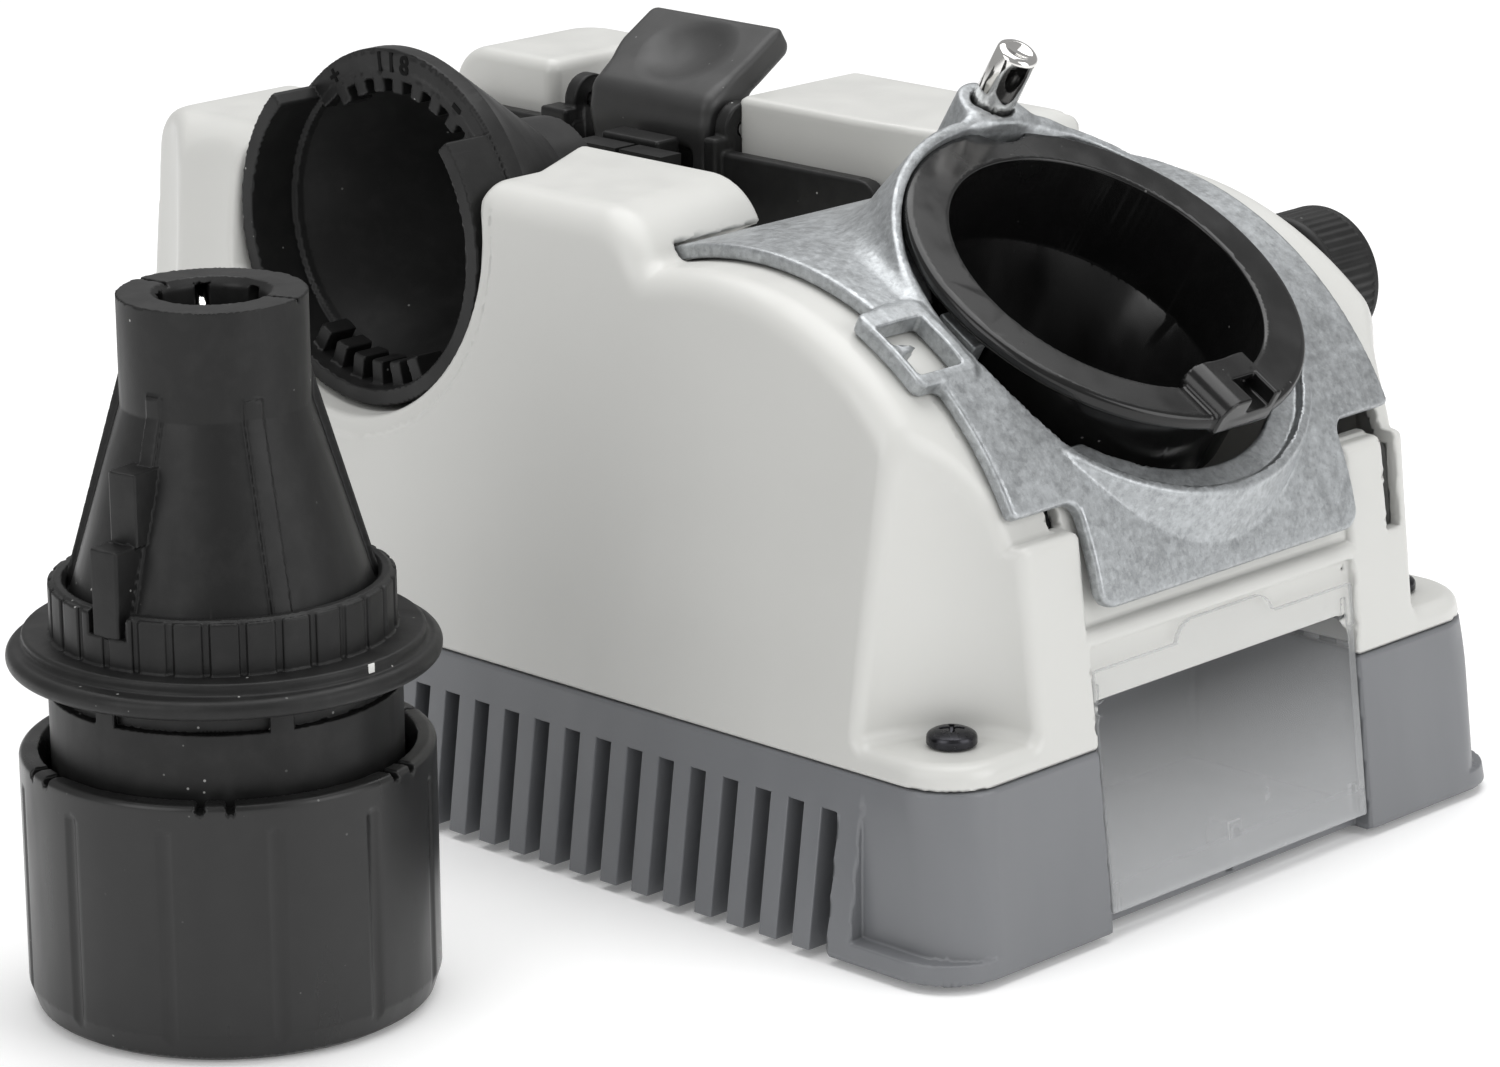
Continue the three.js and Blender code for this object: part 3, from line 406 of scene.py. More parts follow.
def slope(shape, points, reach):
    """Distance, outward direction and steepness at each point."""
    x, y, z = points.T
    grad = []
    for axis in range(3):
        step = [reach if k == axis else 0 for k in range(3)]
        grad.append(shape(x + step[0], y + step[1], z + step[2])
                    - shape(x - step[0], y - step[1], z - step[2]))
    grad = np.stack(grad, 1)
    size = np.linalg.norm(grad, axis=1, keepdims=True)
    return shape(x, y, z), grad / np.maximum(size, 1e-9), size[:, 0] / (2 * reach)


def settle(shape, points, reach, rounds=3):
    """Moves points onto the shape."""
    for _ in range(rounds):
        gap, way, steep = slope(shape, points, 0.06)
        step = np.clip(gap / np.maximum(steep, 0.3), -reach, reach)
        points = points - way * step[:, None]
    return points


def mesh_of(name, points, faces):
    mesh = bpy.data.meshes.new(name)
    mesh.from_pydata(points.tolist(), [], faces.tolist())
    mesh.update()
    return mesh


def grown(name, shape, low, high, step, paint, body, keep=1.0, local=None, soft=0.12, node=None):
    """A piece whose surface is where shape(x, y, z) is zero.

    keep is the share of faces left after thinning, local brings points to the machine frame, and
    soft is the reach in mm over which the shading normals are taken.
    """
    step *= FINE
    axes = [np.arange(a - 1.5 * step, b + 2.5 * step, step) for a, b in zip(low, high)]
    x, y, z = np.meshgrid(*[a.astype(np.float32) for a in axes], indexing="ij", sparse=True)
    field = np.broadcast_to(shape(x, y, z), [len(a) for a in axes])
    points, faces = surface(np.ascontiguousarray(field))
    points = settle(shape, points * step + [a[0] for a in axes], step)
    mesh = mesh_of(name, points, faces)
    if keep < 1:
        piece = bpy.data.objects.new(name, mesh)
        bpy.context.scene.collection.objects.link(piece)
        thin = piece.modifiers.new("thin", "DECIMATE")
        thin.ratio = keep
        ready = piece.evaluated_get(bpy.context.evaluated_depsgraph_get())
        mesh = bpy.data.meshes.new_from_object(ready)
        bpy.data.objects.remove(piece)
        points = np.zeros(len(mesh.vertices) * 3)
        mesh.vertices.foreach_get("co", points)
        points = settle(shape, points.reshape(-1, 3), 0.4 * step, 2)
    way = slope(shape, points, soft)[1]
    if local:
        way = local(way) - local(np.zeros((1, 3)))
        points = local(points)
    finish(name, mesh, points, paint, body, way, node)


def finish(name, mesh, points, paint, body, way=None, node=None):
    """Puts the points in the shared frame, gives the piece its material and body, and hides the CAD
    part named node.
    """
    mesh.vertices.foreach_set("co", ((np.asarray(points) + SHIFT) * MM).ravel())
    mesh.polygons.foreach_set("use_smooth", [True] * len(mesh.polygons))
    mesh.update()
    if way is not None:
        mesh.normals_split_custom_set_from_vertices(np.asarray(way).tolist())
    mesh.materials.clear()
    mesh.materials.append(PAINT[paint])
    piece = bpy.data.objects.new(name, mesh)
    bpy.context.scene.collection.objects.link(piece)
    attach(piece, body)
    if node:
        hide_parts(node)


# ---------------- housing

def hull(x, y, z, inset=0.0, side_draft=SIDE_DRAFT):
    """The housing's four leaning walls, with rounded upright corners."""
    corner = 13.0
    lean_x, lean_y = END_DRAFT * (SEAM - z), side_draft * (SEAM - z)
    qx = abs(x) - (HALF_X - inset + lean_x) + corner
    qy = abs(y) - (HALF_Y - inset + lean_y) + corner
    return np.hypot(np.maximum(qx, 0), np.maximum(qy, 0)) + np.minimum(np.maximum(qx, qy), 0) - corner


def bin_pocket(x, y, z, front, low, high):
    """Walls of the dust bin behind the door, open towards the door."""
    block = brick(x, y, z, (80, front), (-46, 46), (low, high), 0.5)
    return minus(block, brick(x, y, z, (82, 160), (-44, 44), (0, 60), 1.5), 0.4)


def port_way(x, y, z):
    """Open channel round the port: it narrows towards the back and is open at the top."""
    radius = np.interp(y, [-51.7, -26], [36.5, 24.5])
    dx, dz = x - PORT_X, z - PORT_Z
    dz = np.where(dz < 0, dz, np.minimum(dz, 12.0))
    return np.maximum(np.hypot(dx, dz) - radius, y - 20)


def scoops(x, y, z):
    """Upright troughs over the four corners, down to the ledges of the case screws."""
    right = np.hypot(abs(x) - HALF_X, (abs(y) - HALF_Y) * np.where(y > 0, 1.126, 1.0)) - 25
    left = np.hypot((abs(x) - 121.0) / 1.033, (abs(y) - 83.0) / 0.968) - 24.7
    return rmax(np.where(x > 0, right, left), 42.0 - z, 2.5)


def far_right_block(x, y, z):
    """Its front runs straight, then slants back to the rounded right end."""
    roof, wall, end = z - TOP, hull(x, y, z), x - 32
    front = rmax(26.5 - y, 0.987 * (26.5 - y) + 0.158 * (x - 12.5), 1.5)
    crown = np.maximum(np.maximum(rmax(wall, roof, 8), rmax(end, roof, 8)), rmax(wall, end, 6))
    return rmax(rmax(crown, rmax(front, -29.8 - x, 1.5), 1.8), 80 - z, 0)


def towers(x, y, z):
    """The near tower, the left post, the far blocks and the low floor between them."""
    roof, wall = z - TOP, hull(x, y, z)
    crown = rmax(wall, roof, 9)
    slant = (x - 31.0 + 0.17 * np.minimum(y + 27.2, 0)) / 1.014
    side = rmin(rmax(slant, roof, 14), np.hypot(x - ARC_X, z - ARC_Z) - ARCH_R, 3)
    near = rmax(rmax(rmax(wall, side, 7), roof, 0), y + 27.2, 3)
    near = rmax(near, -30.0 - x, 2)
    post = np.maximum(np.maximum(crown, rmax(-120 - x, roof, 12)), rmax(wall, -120 - x, 3))
    post = rmax(post, rmax(y + 26.6, x + 78, 4), 3)
    far_left = rmax(crown, rmax(26.0 - y, x + 85.5, 3), 3)
    low_left = rmax(rmax(wall, z - 112.0, 5), x + 80, 1)
    low_mid = rmax(rmax(wall, z - 104.0, 3), x - 31.0, 1)
    whole = np.minimum(np.minimum(near, post), np.minimum(far_left, far_right_block(x, y, z)))
    return np.minimum(whole, np.minimum(low_left, low_mid))


def shell_outside(x, y, z):
    around = np.hypot(x - ARC_X, z - ARC_Z)
    wall = hull(x, y, z)
    arch = rmax(wall, around - ARCH_R, 6)
    arch = np.where(z < ARC_Z, wall, arch)
    sides = rmax(wall, rmax(z - 79, 39.7 - abs(y), 1.6), 1.6)
    ends = np.maximum(np.minimum(sides, rmax(wall, z - 60, 1.6)), ARC_X - x)
    right = np.maximum(np.minimum(arch, ends), -30 - x)
    right = np.maximum(right, np.where(x < 25, z - 104.0, -50))
    d = np.minimum(right, towers(x, y, z))
    d = minus(d, port_way(x, y, z), 2.5)
    ring = np.maximum(np.hypot(x - PORT_X, z - PORT_Z) - 40, -0.6 - wall)
    d = minus(d, np.maximum(ring, np.maximum(y + 60, -60 - x)), 0.9)
    groove = np.hypot(x + 88.5, wall - 15.0) - 16
    d = minus(d, np.maximum(groove, np.maximum(y + 60, 60 - z)), 2)
    return minus(d, scoops(x, y, z), 2.5)


def upper_shell(x, y, z):
    outer = shell_outside(x, y, z)
    around = np.hypot(x - ARC_X, z - ARC_Z)
    slot = np.maximum(np.maximum(around - PLATE_R - 0.5, ARCH_R - around), abs(y) - 57)
    slot = np.maximum(slot, np.maximum(10 - x, 90 - z))
    outer = minus(outer, slot, 0.6)
    d = minus(outer, outer + 3.0, 0.4)
    for more in PLATE_TRAVEL:
        lx, ly, lz = swing(x, y, z, more)
        d = minus(d, np.maximum(np.hypot(lx, ly) - 41.6, 10 - lz), 0.6)
    window = brick(x, y, z, (100, 150), (-39.5, 39.5), (0, 44.4), 5)
    d = minus(d, window, 0.6)
    lean = x + END_DRAFT * (z - SEAM)
    d = minus(d, brick(lean, y, z, (126.1, 150), (-39.8, 39.8), (40, 56.7), 0.8), 0.4)
    lug = np.maximum(abs(y - 53.5) - 2.1, np.maximum(around - 80, 40 - around))
    stud = np.maximum(np.maximum(abs(around - LOCK_R) - 3.2, 58 - y), np.maximum(x - 92, 58 - x))
    d = minus(minus(d, np.maximum(np.maximum(lug, 60 - z), 50 - x), 0.3), np.maximum(stud, 60 - z), 0.3)
    for ys, zs in (((-44.2, -41.2), (79.3, 89)), ((42, 52), (79.6, 89))):
        d = minus(d, brick(x, y, z, (98, 140), ys, zs, 0.3), 0.2)
    d = np.minimum(d, bin_pocket(x, y, z, 126, 30, 49))
    hole = np.hypot(abs(x) - SCREW_X, abs(y) - SCREW_Y) - 2.4
    d = minus(d, np.maximum(hole, z - 60), 0.3)
    return rmax(d, 37.35 - z, 0.5)


def base_tray(x, y, z):
    upright = hull(x, y, z, -0.5, side_draft=0)
    recess = rmax(rmax(-upright, 106.0 - abs(x), 0), rmax(5.6 - z, 50.0 - abs(y), 0), 0.3)
    d = minus(rmax(hull(x, y, z), 1.5 - z, 0.8), recess, 0.3)
    inner = rmax(hull(x, y, z, 3.0, side_draft=0), 4.5 - z, 1.5)
    d = minus(d, inner, 0.5)
    d = minus(d, brick(x, y, z, (118, 150), (-39.5, 39.5), (4.4, 60), 0.4), 0.4)
    opening = np.maximum(np.maximum(abs(x - 7.91) - 92.09, z - 28.75), 72 - abs(y))
    d = minus(d, opening, 0.2)
    lean = x + END_DRAFT * (z - SEAM)
    d = minus(d, brick(lean, y, z, (123.8, 150), (-39.5, 39.5), (-9, 5), 0.3), 0.2)
    d = np.minimum(d, bin_pocket(x, y, z, 126.5, 3, 36))
    post = rod(np.hypot(abs(x) - SCREW_X, abs(y) - SCREW_Y), z, 5, 3, 36.9, 0.5)
    d = rmin(d, post, 1)
    nub = brick(x, y, z, (122.5, 129.6), (-1.3, 1.3), (3.0, 12.5), 0.4)
    d = np.minimum(d, nub)
    switch = brick(x, y, z, (-150, -120), (-15.5, 15.5), (12.5, 27.5), 0.8)
    gland = np.maximum(np.hypot(y - 45, z - 20) - 6.3, x + 120)
    d = minus(minus(d, switch, 0.4), gland, 0.4)
    bed = np.maximum(np.hypot(y, z - 28) - 22.3, x)
    for middle in (-70, -20):
        cradle = brick(x, y, z, (middle - 3, middle + 3), (-20, 20), (3, 16), 0.5)
        d = np.minimum(d, minus(cradle, bed, 0.3))
    foot = np.maximum(np.hypot(abs(x) - 112, abs(y) - 70) - 7.3, z - 2.7)
    d = minus(d, foot, 0.2)
    return rmax(d, z - 37.05, 0.5)


# ---------------- port, bracket and lever

def alignment_port(x, y, z):
    """Drum with a cone behind it, a cut-away marked face, and index teeth above and below."""
    dx, dz = x - PORT_X, z - PORT_Z
    radial, angle = np.hypot(dx, dz), np.degrees(np.arctan2(dz, dx))
    body = lathe(radial, y, [(32, -68.7), (35.3, -68.7), (35.3, -57.7), (36, -57.7), (36, -53.7),
                             (16, -24), (15.5, -14), (12.5, -14), (12.5, -24), (30.6, -56.0),
                             (31.0, -57.4), (32, -57.8)])
    crest = np.maximum(np.maximum(abs(radial - 31) - 1.2, abs(y + 54.7) - 3), abs(angle - 87) - 48)
    body = np.minimum(body, crest)
    top = np.maximum(abs(angle - 87) - 47, y + 57.7)
    body = minus(body, np.maximum(top * 0.55, 27 - radial), 0.3)
    pitch, far = 11.25, 5.0
    turn = np.clip(np.round((angle - 43) / pitch), 0, 7) * pitch + 43
    side = abs(radial * np.sin(np.radians(angle - turn))) - 1.55
    upper = rmax(rmax(side, 27 - radial, 0.3), rmax(abs(y + 54.7) - 3, radial - 31, 0), 0.3)
    turn = np.clip(np.round((angle + 122) / pitch), 0, 5) * pitch - 122
    side = abs(radial * np.sin(np.radians(angle - turn))) - 1.6
    lower = rmax(rmax(side, 27 - radial, 0.3), rmax(abs(y + 61.5) - 3.6, radial - 33, 0), 0.3)
    lower = np.where(dz < 0, lower, far)
    return rmin(np.minimum(body, np.where(dz > 0, upper, far)), lower, 0.3) - 0.05


def lever_bracket(x, y, z):
    """Back wall, deck and the two ears that hold the lever's pin."""
    floor = 104.3
    from_pin = np.hypot(y - LEVER_Y, z - LEVER_Z)
    wall = brick(x, y, z, (-112, 16), (20.5, 24.2), (floor, 119), 1.0)
    wall = rmax(wall, np.where(x > 10, np.hypot(x - 10, z - 113) - 6, -9), 0.3)
    wall = minus(wall, brick(x, y, z, (-73.6, -32.9), (15, 30), (107.6, 130), 0.5), 0.4)
    deck = brick(x, y, z, (-83, -28.6), (4.6, 35.5), (floor, 108), 0.8)
    d = rmin(wall, deck, 1.5)
    for xs in ((-82, -74), (-32.5, -28.8)):
        d = rmin(d, brick(x, y, z, xs, (18.5, 24.5), (floor, 122), 0.8), 0.6)
    d = rmin(d, brick(x, y, z, (-74, -32), (33.2, 35.5), (floor, 114.5), 0.5), 0.4)
    d = rmin(d, brick(x, y, z, (-56, -39.2), (11.6, 18.5), (floor, 121.2), 0.7), 0.5)
    ear = np.where(z > LEVER_Z, from_pin, abs(y - LEVER_Y)) - 5.6
    for middle in (-76.1, -30.6):
        d = rmin(d, rmax(rmax(ear, abs(x - middle) - 1.8, 0.6), floor - z, 0), 0.5)
    d = minus(d, from_pin - LEVER_PIN_R, 0.2)
    pawls = brick(x, y, z, (-58.5, -30), (4.0, 11.4), (108.2, 121), 0.3)
    return minus(d, pawls, 0.2)


def thumb_lever(x, y, z):
    """Dished pad that rises from a waist at the pin, with an apron hanging in front of it."""
    mid, half, left, right = -53.25, 20.1, -68.65, -34.65
    dy, dz = y - LEVER_Y, z - LEVER_Z
    tilt = math.radians(32)
    along = dy * math.cos(tilt) + dz * math.sin(tilt)
    above = -dy * math.sin(tilt) + dz * math.cos(tilt)
    hub = rod(np.hypot(dy, dz), x, 6, left, right, 1.2)
    flare = np.clip((along - 1) / 12, 0, 1)
    waist = rmax(left - 4.7 * flare - x, x - right - 1.5 * flare, 0)
    thick = 5.4 - 0.035 * np.clip(along - 4, 0, 40)
    pad = brick(x, along, above, (mid - half, mid + half), (-2, 24.5), (0.2, 8.2), 2.6)
    edge = rmax(rmax(pad, above - thick - 2.4, 1.6), waist, 2)
    d = rmin(hub, edge, 5)
    dish = np.sqrt((x - mid - 1) ** 2 * 1.1 + (along - 13) ** 2 * 1.5 + (above - 34.6) ** 2) - 29.6
    d = minus(d, dish, 0.9)
    apron = brick(x, y, z, (left, right), (LEVER_Y - 6.2, LEVER_Y - 2.4), (108.6, 124), 1.6)
    relief = brick(x, y, z, (-62.5, -38.5), (10, 26), (100, 118.6), 1.5)
    d = rmin(d, minus(apron, relief, 0.8), 3)
    return minus(d, np.hypot(dy, dz) - LEVER_PIN_R, 0.2)


# ---------------- angle plate and its fittings

def angle_plate(x, y, z):
    """Bent zinc sheet with a collar for the tube, in the plate's own frame."""
    around, deg = np.hypot(x, z), np.degrees(np.arctan2(z, x) - TURN)
    inner = PLATE_R - 3.0
    band = abs(around - (inner + PLATE_R) / 2) - 1.5
    ears = rmax(abs(y) - 56.3, (27.2 - deg) * ARC_STEP, 1.5)
    ears = rmax(ears, (deg - 108.0) * ARC_STEP, 0.6)
    tongue = rmax(abs(y) - 38.7, (10.8 - deg) * ARC_STEP, 4)
    outline = rmin(ears, rmax(tongue, (deg - 60) * ARC_STEP, 0), 3.0)
    sheet = rmax(band, outline, 0.8)
    window = rmax(rmax(abs(deg - 57.2) * ARC_STEP - 9.9, abs(y + 54.2) - 8.1, 2.2),
                  abs(around - (inner + PLATE_R + 0.9) / 2) - 1.95, 0.8)
    sheet = rmin(sheet, window, 1.5)
    centre, from_pin = np.hypot(x - 2.5, y), np.hypot(x - PIN_X, y - PIN_Y)
    drop = 73.0 - 0.1625 * (x - 2.5) - z
    collar = rmax(centre - 46.5 - 0.22 * np.clip(drop, 0, 12), -drop, 0.7)
    pocket = rmax(centre - 44.3, 69.4 - 0.12 * (x - 2.5) - z, 0.8)
    soft = 0.5 + 4.5 * np.clip((10 - x) / 40, 0, 1)
    d = rmin(minus(sheet, pocket, 0.4), rmax(minus(collar, pocket, 0.5), inner - around, 0.5), soft)
    boss = rmax(from_pin - 7.2, z - 81.0, 1.0)
    web = brick(x, y, z, (PIN_X - 2, PIN_X + 10), (PIN_Y - 13, PIN_Y + 10), (55, 72.5), 5)
    bump = np.sqrt(((x - PIN_X - 5.5) / 1.2) ** 2 + (y - PIN_Y - 9.5) ** 2 + (z - 74) ** 2) - 4.6
    proud = rmax(rmin(boss, rmin(web, bump, 2), 4), inner - around, 0.5)
    d = minus(rmin(d, proud, 4), rmax(centre - 43.0, 74.9 - z, 0.8), 0.6)
    d = np.maximum(d, inner - around)
    across = abs(deg - 56.45) * ARC_STEP
    hole = rmax(across - 6.2, abs(y + 54.9) - 6.0, 0.8)
    pointer = np.maximum(across - 0.30 * (-y - 55.5), -(y + 60.9))
    d = minus(d, np.maximum(np.maximum(hole, -pointer), 40 - z), 0.4)
    d = minus(d, np.maximum(centre - 38.6, 20 - z), 0.7)
    d = minus(d, np.maximum(from_pin - 4.35, 71.5 - z), 0.5)
    lug = rmax(rmax(abs(deg - LOCK_ANGLE) * 0.9 - 4.1, abs(y - 53.5) - 1.5, 0.3),
               rmax(around - inner - 1, 46.0 - around, 0), 0.5)
    arms = brick(x, abs(y), z, (-5, 5), (36.3, 40.3), (24, 73), 0.6)
    d = np.minimum(d, np.minimum(lug, arms))
    stud = math.radians(LOCK_ANGLE) + TURN
    d = minus(d, np.hypot(x - LOCK_R * math.cos(stud), z - LOCK_R * math.sin(stud)) - 2.6, 0.2)
    return minus(d, np.hypot(x, z - PIVOT_Z) - PIVOT_R, 0.2)


def sharpening_tube(x, y, z):
    """Funnel with a flange and a notched clip, in the plate's own frame."""
    radial = np.hypot(x, y)
    outside = lathe(radial, z, [(0, 22), (23.4, 22), (24, 30), (35.5, 55), (35.5, 75.6), (0, 75.6)])
    flange = rod(radial, z, 42.2, 75.2, 78.6, 1.3)
    d = rmin(outside, flange, 1.2)
    bore = lathe(radial, z, [(0, 18), (19.5, 18), (19.5, 32), (33, 58), (33, 90), (0, 90)])
    ends = rmax(y - 6.8, rmax(30.0 - x, x - 42.0, 0), 0.4)
    clip = rmax(rmax(rmax(z - 82.4, -9.4 - y, 4.2), ends, 0.4), 75.3 - z, 0)
    d = rmin(minus(d, bore, 0.6), clip, 0.6)
    notch = brick(x, y, z, (34.6, 47), (-2.0, 4.9), (78.9, 90), 0.6)
    roof = rmax(abs(y - 1.4) - 4.4, rmax(z - 82.4, 81.0 - z, 0), 0.2)
    d = minus(d, minus(notch, rmax(roof, x - 36.0, 0), 0), 0.3)
    d = minus(d, np.maximum(radial - 30.4, 60 - z), 0.5)
    from_pivot = np.hypot(x, z - PIVOT_Z)
    ear = np.maximum(np.maximum(from_pivot - 4.6, abs(y) - 35.6), 20.5 - radial)
    d = rmin(d, ear, 0.6)
    d = minus(d, np.maximum(np.hypot(x - PIN_X, y - PIN_Y) - 8.4, 60 - z), 0.3)
    return minus(d, from_pivot - PIVOT_R, 0.2)


def lock_knob(x, y, z):
    """Knob with 48 ridges and a ring-shaped groove in its outer face."""
    dx = x - ARC_X - LOCK_R * math.cos(math.radians(LOCK_ANGLE))
    dz = z - ARC_Z - LOCK_R * math.sin(math.radians(LOCK_ANGLE))
    radial, angle = np.hypot(dx, dz), np.arctan2(dz, dx)
    ridge = np.where((y > 77.5) & (y < 88.5), 0.28 * (1 - np.cos(48 * angle)) / 2, 0.0)
    grip = rod(radial, y, 15.0, 75.6, 91.0, 1.6) + ridge
    grip = minus(grip, np.maximum(abs(radial - 8.7) - 3.2, 87.2 - y), 0.5)
    return minus(grip, np.maximum(radial - 2.5, y - 84.6), 0.2)


# ---------------- dust door and small fittings

def dust_door(x, y, z):
    """Clear pane with rounded upper corners, a strip and finger tab above it, and hinge blocks."""
    lean = x + END_DRAFT * (z - SEAM)
    pane = brick(lean, y, z, (125.8, 127.7), (-39.0, 39.0), (5.0, 45.6), 0.5)
    pane = rmax(pane, np.hypot(np.maximum(abs(y) - 34.4, 0), np.maximum(z - 41.0, 0)) - 4.6, 0.2)
    strip = brick(lean, y, z, (126.6, 127.9), (-39.1, 39.1), (43.6, 52.0), 0.35)
    ledge = brick(lean, y, z, (126.6, 128.0), (-38.9, 38.9), (50.4, 52.0), 0.3)
    tab = brick(lean, y, z, (126.6, 127.9), (-15, 15), (50, 60), 0.3)
    tab = rmax(tab, np.hypot(np.maximum(abs(y) - 9.5, 0), np.maximum(z - 50.4, 0)) - 5.5, 0.2)
    d = np.minimum(np.minimum(pane, strip), np.minimum(ledge, tab))
    for m in (-37.6, 37.6):
        d = np.minimum(d, brick(lean, y, z, (124.4, 127.9), (m - 0.7, m + 0.7), (5.2, 11), 0.3))
        d = np.minimum(d, brick(lean, y, z, (125.8, 128.1), (m - 0.6, m + 0.6), (43, 49), 0.3))
    return minus(d, brick(lean, y, z, (120, 126.3), (-2, 2), (3, 13.2), 0.3), 0.2)


def screw(x, y, z):
    """Cross-head screw on the z axis."""
    radial = np.hypot(x, y)
    head = rmax(rod(radial, z, 4.8, 42.3, 45.6, 0.4), np.sqrt(radial ** 2 + (z - 37.6) ** 2) - 8.2, 0.5)
    shank = rod(radial, z, 1.3, 23, 43, 0.2)
    a, b = abs(x + y) * 0.7071, abs(x - y) * 0.7071
    cross = np.minimum(np.maximum(a - 2.3, b - 0.42), np.maximum(b - 2.3, a - 0.42))
    cross = np.maximum(cross, radial - 0.2 - (z - 43.2) * 1.3)
    return minus(np.minimum(head, shank), np.maximum(cross, 43.4 - z), 0.1)


# ---------------- chuck

def polar(x, y):
    """Distance and angle in degrees round the chuck's upright axis."""
    dx, dy = x - CHUCK_X, y - CHUCK_Y
    return np.hypot(dx, dy), np.degrees(np.arctan2(dy, dx))


def apart(angle, middle):
    """Signed angle from middle, in radians."""
    return np.radians((angle - middle + 180) % 360 - 180)


def beside(radial, angle, middle, half, reach=1.5):
    """Upright slab of half thickness half, on one side of the axis only."""
    off = apart(angle, middle)
    return np.where(abs(off) < reach, abs(radial * np.sin(off)) - half, 9.0)


def cam_radius(angle):
    return 36.2 + 0.9 * np.cos(2 * np.radians(angle - 20))


def chuck_knob(x, y, z):
    """Grip: an open cup with twelve upright grooves and paired nicks in its rim."""
    radial, angle = polar(x, y)
    d = lathe(radial, z, [(0, 0), (34.6, 0), (36.6, 1.2), (38, 5.4), (38, 49.2), (34.6, 49.2),
                          (33.2, 46.2), (33.2, 6), (0, 6)])
    d = rmax(d, rod(radial, z, 38, -20, 49.2, 1.3), 0)
    near = np.round((angle - 1.5) / 30) * 30 + 1.5
    side = radial * np.sin(np.radians(angle - near))
    groove = np.hypot(side, radial - 39.6) - 2.1 + np.clip(z - 43.5, 0, 9) * 0.5
    d = minus(d, groove, 0.25)
    for k in range(6):
        for half in (-4.1, 4.1):
            nick = abs(radial * apart(angle, -44.3 + 60 * k + half)) - 0.75
            nick = np.maximum(np.maximum(nick, 47.6 - z), abs(radial - 36.2) - 2.6)
            d = minus(d, nick, 0.15)
    return minus(d, np.maximum(radial - 5.3, 2.5 - z), 0.3)


def chuck_nose(x, y, z):
    """Cone and neck with ribs, webs, two stepped keys, jaw slots and two fine slits."""
    radial, angle = polar(x, y)
    d = lathe(radial, z, [(29.4, 66), (29.4, 77.6), (27.6, 78.4), (17.2, 113), (17.2, 133.3),
                          (10.9, 133.3), (9.5, 131.6), (9.5, 100), (24, 76), (27, 66)])
    d = rmax(d, rod(radial, z, 40, 60, 133.3, 1.0), 0)
    hollow = lathe(radial, z, [(0, 60), (27.4, 60), (24.2, 76), (9.7, 100), (9.7, 140), (0, 140)])
    cone = 17.2 + (113 - z) * (10.4 / 34.6)
    for middle, half, rise, top in ((-18, 1.9, 0.9, 117), (162, 1.9, 0.9, 117),
                                    (-79, 1.7, 1.0, 117.5), (101, 1.7, 1.0, 117.5)):
        side = beside(radial, angle, middle, half)
        rib = rmax(side, radial - np.maximum(cone, 17.0) - rise, 0.4)
        d = rmin(d, rmax(rib, rmax(z - top, 76 - z, 0), 0.4), 0.4)
    for middle in (56, -140):
        side = beside(radial, angle, middle, 0.9)
        web = rmax(side, radial - 17.0 - (119.5 - z) * (11.6 / 40), 0.3)
        d = rmin(d, rmax(web, rmax(z - 119.5, 77.0 - z, 0), 0.3), 0.4)
    for middle in (-81, 99):
        off = apart(angle, middle)
        side = np.where(abs(off) < 1.5, radial * np.sin(off), 99.0)
        upper = rmax(rmax(abs(side) - 3.1, radial - 26.2, 0.3), rmax(z - 105.5, 92.0 - z, 0), 0.3)
        lower = rmax(rmax(abs(side + 0.6) - 3.1, radial - 31.2, 0.3), rmax(z - 92.4, 76.0 - z, 0), 0.3)
        d = np.minimum(d, np.minimum(upper, lower))
    d = minus(d, hollow, 0.3)
    for middle in range(30, 390, 60):
        side = beside(radial, angle, middle, 1.3, 1.2)
        d = minus(d, np.maximum(np.maximum(side, radial - 15.4), np.maximum(96 - z, z - 132)), 0.2)
    for middle in (22, 190):
        d = minus(d, np.maximum(beside(radial, angle, middle, 0.35, 1.2), 132.4 - z), 0.1)
    return d


def chuck_ring(x, y, z):
    """Indexing ring, cam flange and the sleeve that runs down into the grip."""
    radial, angle = polar(x, y)
    ring = lathe(radial, z, [(29.0, 66), (30.9, 66), (30.9, 80.4), (30.3, 81), (28.9, 81), (28.2, 80),
                             (28.2, 66)])
    near = np.round((angle + 40) / 12) * 12 - 40
    side = abs(radial * np.sin(np.radians(angle - near))) - 2.6
    pad = rmax(rmax(side, abs(radial - 30.4) - 1.1, 0.25), rmax(z - 80.6, 68.0 - z, 0), 0.35)
    d = rmin(ring, pad, 0.15)
    gate = apart(angle, -81.5)
    d = minus(d, np.where(abs(gate) < 1, np.maximum(abs(radial * gate) - 4.4, 76.5 - z), 9.0), 0.3)
    step = rmax(rod(radial - cam_radius(angle) + 36, z, 36, 66, 70.9, 0.7), 28.2 - radial, 0)
    painted_edge_highlight = rmax(rod(radial, z, 39.6, 65.0, 68.7, 1.75), 28.2 - radial, 0)
    d = rmin(rmin(d, step, 0.4), painted_edge_highlight, 0.8)
    sleeve = rmax(rod(radial, z, 32.2, 8.2, 67, 0.4), 28.5 - radial, 0.3)
    gap = np.round((angle + 52.5) / 60) * 60 - 52.5
    port = np.maximum(abs(radial * np.radians(angle - gap)) - 14.5, abs(z - 61.9) - 1.5)
    sleeve = minus(sleeve, np.maximum(port, 30.6 - radial), 0.2)
    return rmin(d, sleeve, 1.0)


def index_tick(x, y, z):
    """Pale mark on the edge of the cam flange."""
    radial, angle = polar(x, y)
    off = apart(angle, TICK_ANGLE) * radial
    rise = abs(radial - cam_radius(angle) - 0.02) - 0.12
    return np.maximum(np.maximum(abs(off) - 0.75, rise), abs(z - 69.75) - 1.05)


